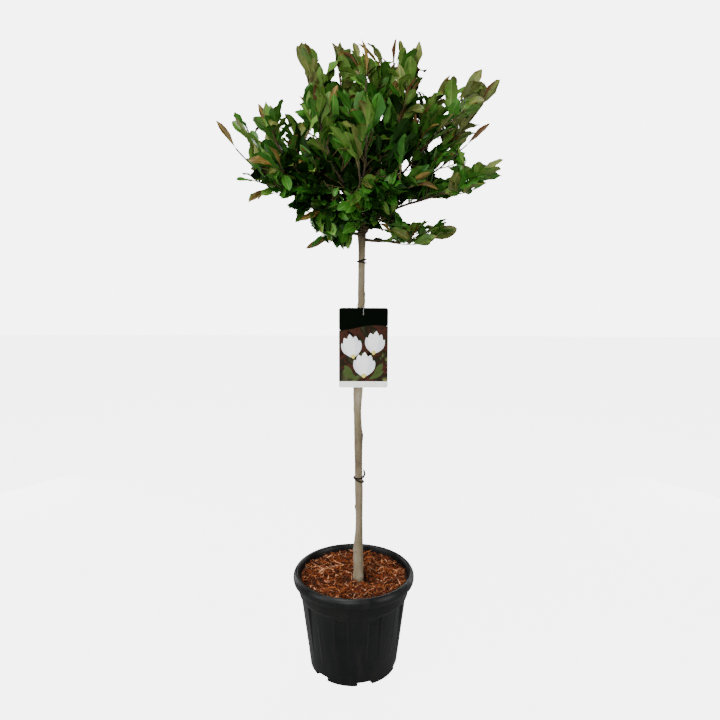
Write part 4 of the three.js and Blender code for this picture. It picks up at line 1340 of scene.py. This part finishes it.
def grow_twig(own, shoot, limb, share, bearing, length, way, girth):
    """Grows a side twig that sweeps up a little from a place on a limb, turned until it has room,
    or none, and adds it to its own kind. way gives its spread and lift, girth its radii."""
    root, line = at_share(limb, share)
    for attempt in range(TRIES):
        direction = branch_off(line, way["spread"], bearing + 40 * attempt, way["lift"])
        tip = root + direction * length
        if keeps_space([tip], shoot) and in_view(np.array([root + direction * length * 0.6, tip])):
            bend = root + direction * length * 0.55 - UP * length * 0.05
            twig = bezier(root, bend, tip, 13)
            own.append(twig)
            twigs.append((twig, np.linspace(girth["foot"], girth["tip"], len(twig)), 0))
            return


def grow_shoot(shoot):
    """A shoot's last leaf, its side twigs with their spurs, and the leaves on all of them."""
    limb = shoot["limb"]
    tip = limb[-1]
    last = shoot["end"] - tip
    young = dice.random() < YOUNG["tip"] if shoot["young"] is None else shoot["young"]
    tint = spray_tint(shoot["end"])
    leaves.append(new_leaf(shoot, tip, unit(last), np.linalg.norm(last), tint, young, True))
    for number in range(shoot["tuft"]):
        bearing = TUFT["first"] + TUFT["turn"] * number
        grow_leaf(shoot, limb, 1.0, bearing, TUFT["spread"], TUFT["size"], spray_tint(shoot["end"]))
    first = dice.uniform(0, 360)
    count = shoot["twigs"] + TWIG["more"]
    own_twigs = []
    for i in range(count):
        share = TWIG["from"] + TWIG["over"] * (i + 0.4) / count
        length = TWIG["length"] * dice.uniform(0.75, 1.2) * (1.1 - 0.45 * share)
        grow_twig(own_twigs, shoot, limb, share, first + GOLDEN_ANGLE * i, length, TWIG, TWIG)
    spurs = []
    for twig in own_twigs:
        for share in SPUR["at"]:
            bearing = dice.uniform(0, 360)
            length = SPUR["length"] * dice.uniform(0.6, 1.3)
            grow_twig(spurs, shoot, twig, share, bearing, length, SPUR, SPUR)
    for share in np.linspace(SPRIG["from"], SPRIG["to"], shoot["sprigs"]):
        length = SPRIG["length"] * dice.uniform(0.7, 1.3)
        grow_twig(spurs, shoot, limb, share, dice.uniform(0, 360), length, SPRIG, SPUR)
    for twig in own_twigs:
        grow_leaves(shoot, twig, **TWIG_LEAVES)
    for spur in spurs:
        grow_leaves(shoot, spur, **SPUR_LEAVES)
    start = max(STEM_LEAVES["start"], shoot["foot_share"] * 0.9)
    grow_leaves(shoot, limb, **{**STEM_LEAVES, "start": start})


def make_boughs():
    """The boughs and the stems that go on from them: tapering tubes with swollen feet, that bend a
    little from leaf to leaf, and whose bark is uneven round and along."""
    limbs = []
    for shoot in shoots:
        line = shoot["limb"].copy()
        share = np.linspace(0, 1, len(line))
        side = square_to(unit(line[-1] - line[0]), 0)
        other = np.cross(side, unit(line[-1] - line[0]))
        sway = 1.4 * np.sin(share * np.pi) * np.sin(share * 21 + shoot["number"])
        swing = 1.0 * np.sin(share * np.pi) * np.cos(share * 16 + 2 * shoot["number"])
        line = line + side * sway[:, None] + other * swing[:, None]
        bend = np.interp(share, [0, shoot["foot_share"], 1], [BOUGH["foot"], BOUGH["tip"], STEM_TIP])
        collar = 1 + 0.5 * np.exp(-share * shoot["length"] / 7)
        around, along = np.meshgrid(np.arange(10) / 10, share * 8)
        rough = 1 + 0.06 * relief(around, along, seed=shoot["number"], waves=10, turns=3, pace=2)
        limbs.append((line, (bend * collar)[:, None] * rough, 0))
    boughs = tubes("boughs", limbs, 10, [LIMB_BARK])
    take_over(boughs, "bough_bark", *[f"bough_{shoot['name']}" for shoot in shoots])


def make_twigs():
    piece = tubes("twigs", twigs, 6, [TWIG_BARK])
    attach(piece, "root")


# ---- Crown: the leaves ----

STATIONS = np.array([0.0, 0.07, 0.22, 0.42, 0.62, 0.80, 0.93, 1.0])  # of its rings along a leaf
PETIOLE = 0.07  # the share of it that is stalk
RIB = 0.85  # half the width of the midrib
# A leaf's section: for each of its eight points how far out it lies as a share of the half width,
# the side of the rib, how high on the thickness and which half; and for each stretch from a point to
# the next whether it is the upper side, the underside or the rib.
LATERAL = np.array([0.0, 0.55, 1.0, 0.0, 0.0, -1.0, -0.55, 0.0])
RIB_SIDE = np.array([1, 0, 0, 1, -1, 0, 0, -1])
LEVEL = np.array([1, 0.6, 0, -1, -1, 0, 0.6, 1])
HALVES = np.array([0, 0, 0, 0, 1, 1, 1, 1])
SIDE_PARTS = [0, 0, 1, 2, 1, 0, 0, 2]


def gathered(own, key):
    """One value of each leaf, as an array."""
    return np.array([leaf[key] for leaf in own])


def leaf_rings(own):
    """Leaves as rings of eight points. Along the way t, the midrib is an arc that turns by its curl;
    the half width is a power of the way along times a power of the way left, which is broadest past
    the middle, with a narrow stalk; the halves fold up from the midrib and wave at their edges, and
    they are a little crinkled."""
    n = len(own)
    place, direction = gathered(own, "place"), gathered(own, "direction")
    length, width = gathered(own, "length")[:, None], gathered(own, "width")[:, None]
    young, curl = gathered(own, "young")[:, None], gathered(own, "curl")[:, None]
    across = np.array([square_to(leaf["direction"], leaf["roll"]) for leaf in own])
    face = np.cross(across, direction)
    t = STATIONS[None]
    heading = curl * t
    ahead, drop = arc(length, curl, t)
    across, face, direction = (vector[:, None] for vector in (across, face, direction))
    middle = place[:, None] + direction * (ahead - 0.8)[..., None] - face * drop[..., None]
    face = face * np.cos(heading)[..., None] + direction * np.sin(heading)[..., None]
    twist = (np.radians(dice.normal(0, 14, (n, 1))) * t)[..., None]
    turned_across = across * np.cos(twist) + face * np.sin(twist)
    turned_face = face * np.cos(twist) - across * np.sin(twist)
    way = np.clip((t - PETIOLE) / (1 - PETIOLE), 0, 1)
    rise, fall = dice.uniform(1.0, 1.4, (n, 1)), dice.uniform(0.68, 1.0, (n, 1))
    peak = rise / (rise + fall)
    shape = way**rise * (1 - way) ** fall / (peak**rise * (1 - peak) ** fall)
    half = np.maximum(width / 2 * shape, 0.75)
    fold = np.tan(np.radians(dice.uniform(4, 26, (n, 1)) + 24 * young)) * np.ones_like(t)
    phase = dice.uniform(0, 2 * np.pi, (n, 2))
    ragged = 1 + 0.05 * dice.uniform(-1, 1, (n, len(STATIONS), 2))
    spread = LATERAL[None, None] * np.where(LATERAL > 0, ragged[..., :1], ragged[..., 1:])
    lateral = spread * half[..., None] + RIB_SIDE * np.minimum(RIB, 0.6 * half)[..., None]
    wave_side = np.where(LATERAL > 0, phase[:, :1], phase[:, 1:])[:, None]
    wave = 0.2 * np.sin(2 * np.pi * 2.3 * t[..., None] + wave_side) * LATERAL**2
    crinkle = dice.normal(0, 0.05, (n, len(STATIONS), 2))[..., HALVES] * np.abs(LATERAL)
    thick = 0.45 * np.sqrt(half / half.max(1, keepdims=True))
    height = (
        np.abs(lateral) * fold[..., None]
        + (wave + crinkle) * half[..., None]
        + LEVEL * thick[..., None]
    )
    return (
        middle[:, :, None]
        + turned_across[:, :, None] * lateral[..., None]
        + turned_face[:, :, None] * height[..., None]
    )


def leaf_numbers(own):
    """The material number of each side face: the leaf's tint, with a bronze edge and tip on some."""
    tint = gathered(own, "tint")
    stretches = len(STATIONS) - 1
    tints = np.broadcast_to(tint[:, None, None], (len(own), stretches, 8)).copy()
    edged = dice.random(len(own)) < EDGED_SHARES[tint]
    tints[edged, 4:, 1] = BRONZE
    tints[edged, 5:, 5] = BRONZE
    tipped = edged & (dice.random(len(own)) < 0.5)
    tints[tipped, 6:, :] = BRONZE
    return tints * 3 + np.array(SIDE_PARTS)[None, None], tint


LEAF_GROUPS = {
    "leaves_left": ("left_low", "left_droop", "left_mid", "left_top", "left_under", "back_left"),
    "leaves_right": ("right_far", "right_mid", "right_low", "right_spur", "right_upper", "right_inner"),
    "leaves_crest": ("centre_left_top", "centre_right_top", "right_top", "right_crest", "back_mid"),
    "leaves_front": (
        "front_right", "front_mid", "front_left", "front_centre", "front_low", "front_under",
    ),
    "leaves_back": ("back_right", "back_low_left", "back_low_right"),
}


def make_leaves():
    for name, group in LEAF_GROUPS.items():
        own = [leaf for leaf in leaves if leaf["shoot"] in group]
        points, quads, ends = skin(leaf_rings(own))
        numbers, tint = leaf_numbers(own)
        which = np.concatenate([numbers.ravel(), tint * 3 + 1, tint * 3])
        piece = build(name, points, [quads, *ends], LEAF_FINISHES, which, sharp=75)
        take_over(piece, "foliage", *[f"leaves_{own_name}" for own_name in group])


# ---- Making ----


def make_filling():
    points, polygons, numbers = joined([make_compost(), make_shreds()])
    mulch = build("bark_mulch", points, polygons, [COMPOST, *SHREDS], numbers, 50)
    take_over(mulch, "bark_mulch", "mulch")


make_camera()
make_studio()
make_pot()
make_filling()
make_trunk()
make_label()
make_strap()
make_ties()
for shoot in shoots:
    grow_shoot(shoot)
for name, start, size, gap in FILLED:
    shoot = next(shoot for shoot in shoots if shoot["name"] == name)
    grow_leaves(shoot, shoot["limb"], start, size, gap, STEM_LEAVES["top"])
make_boughs()
make_twigs()
make_leaves()
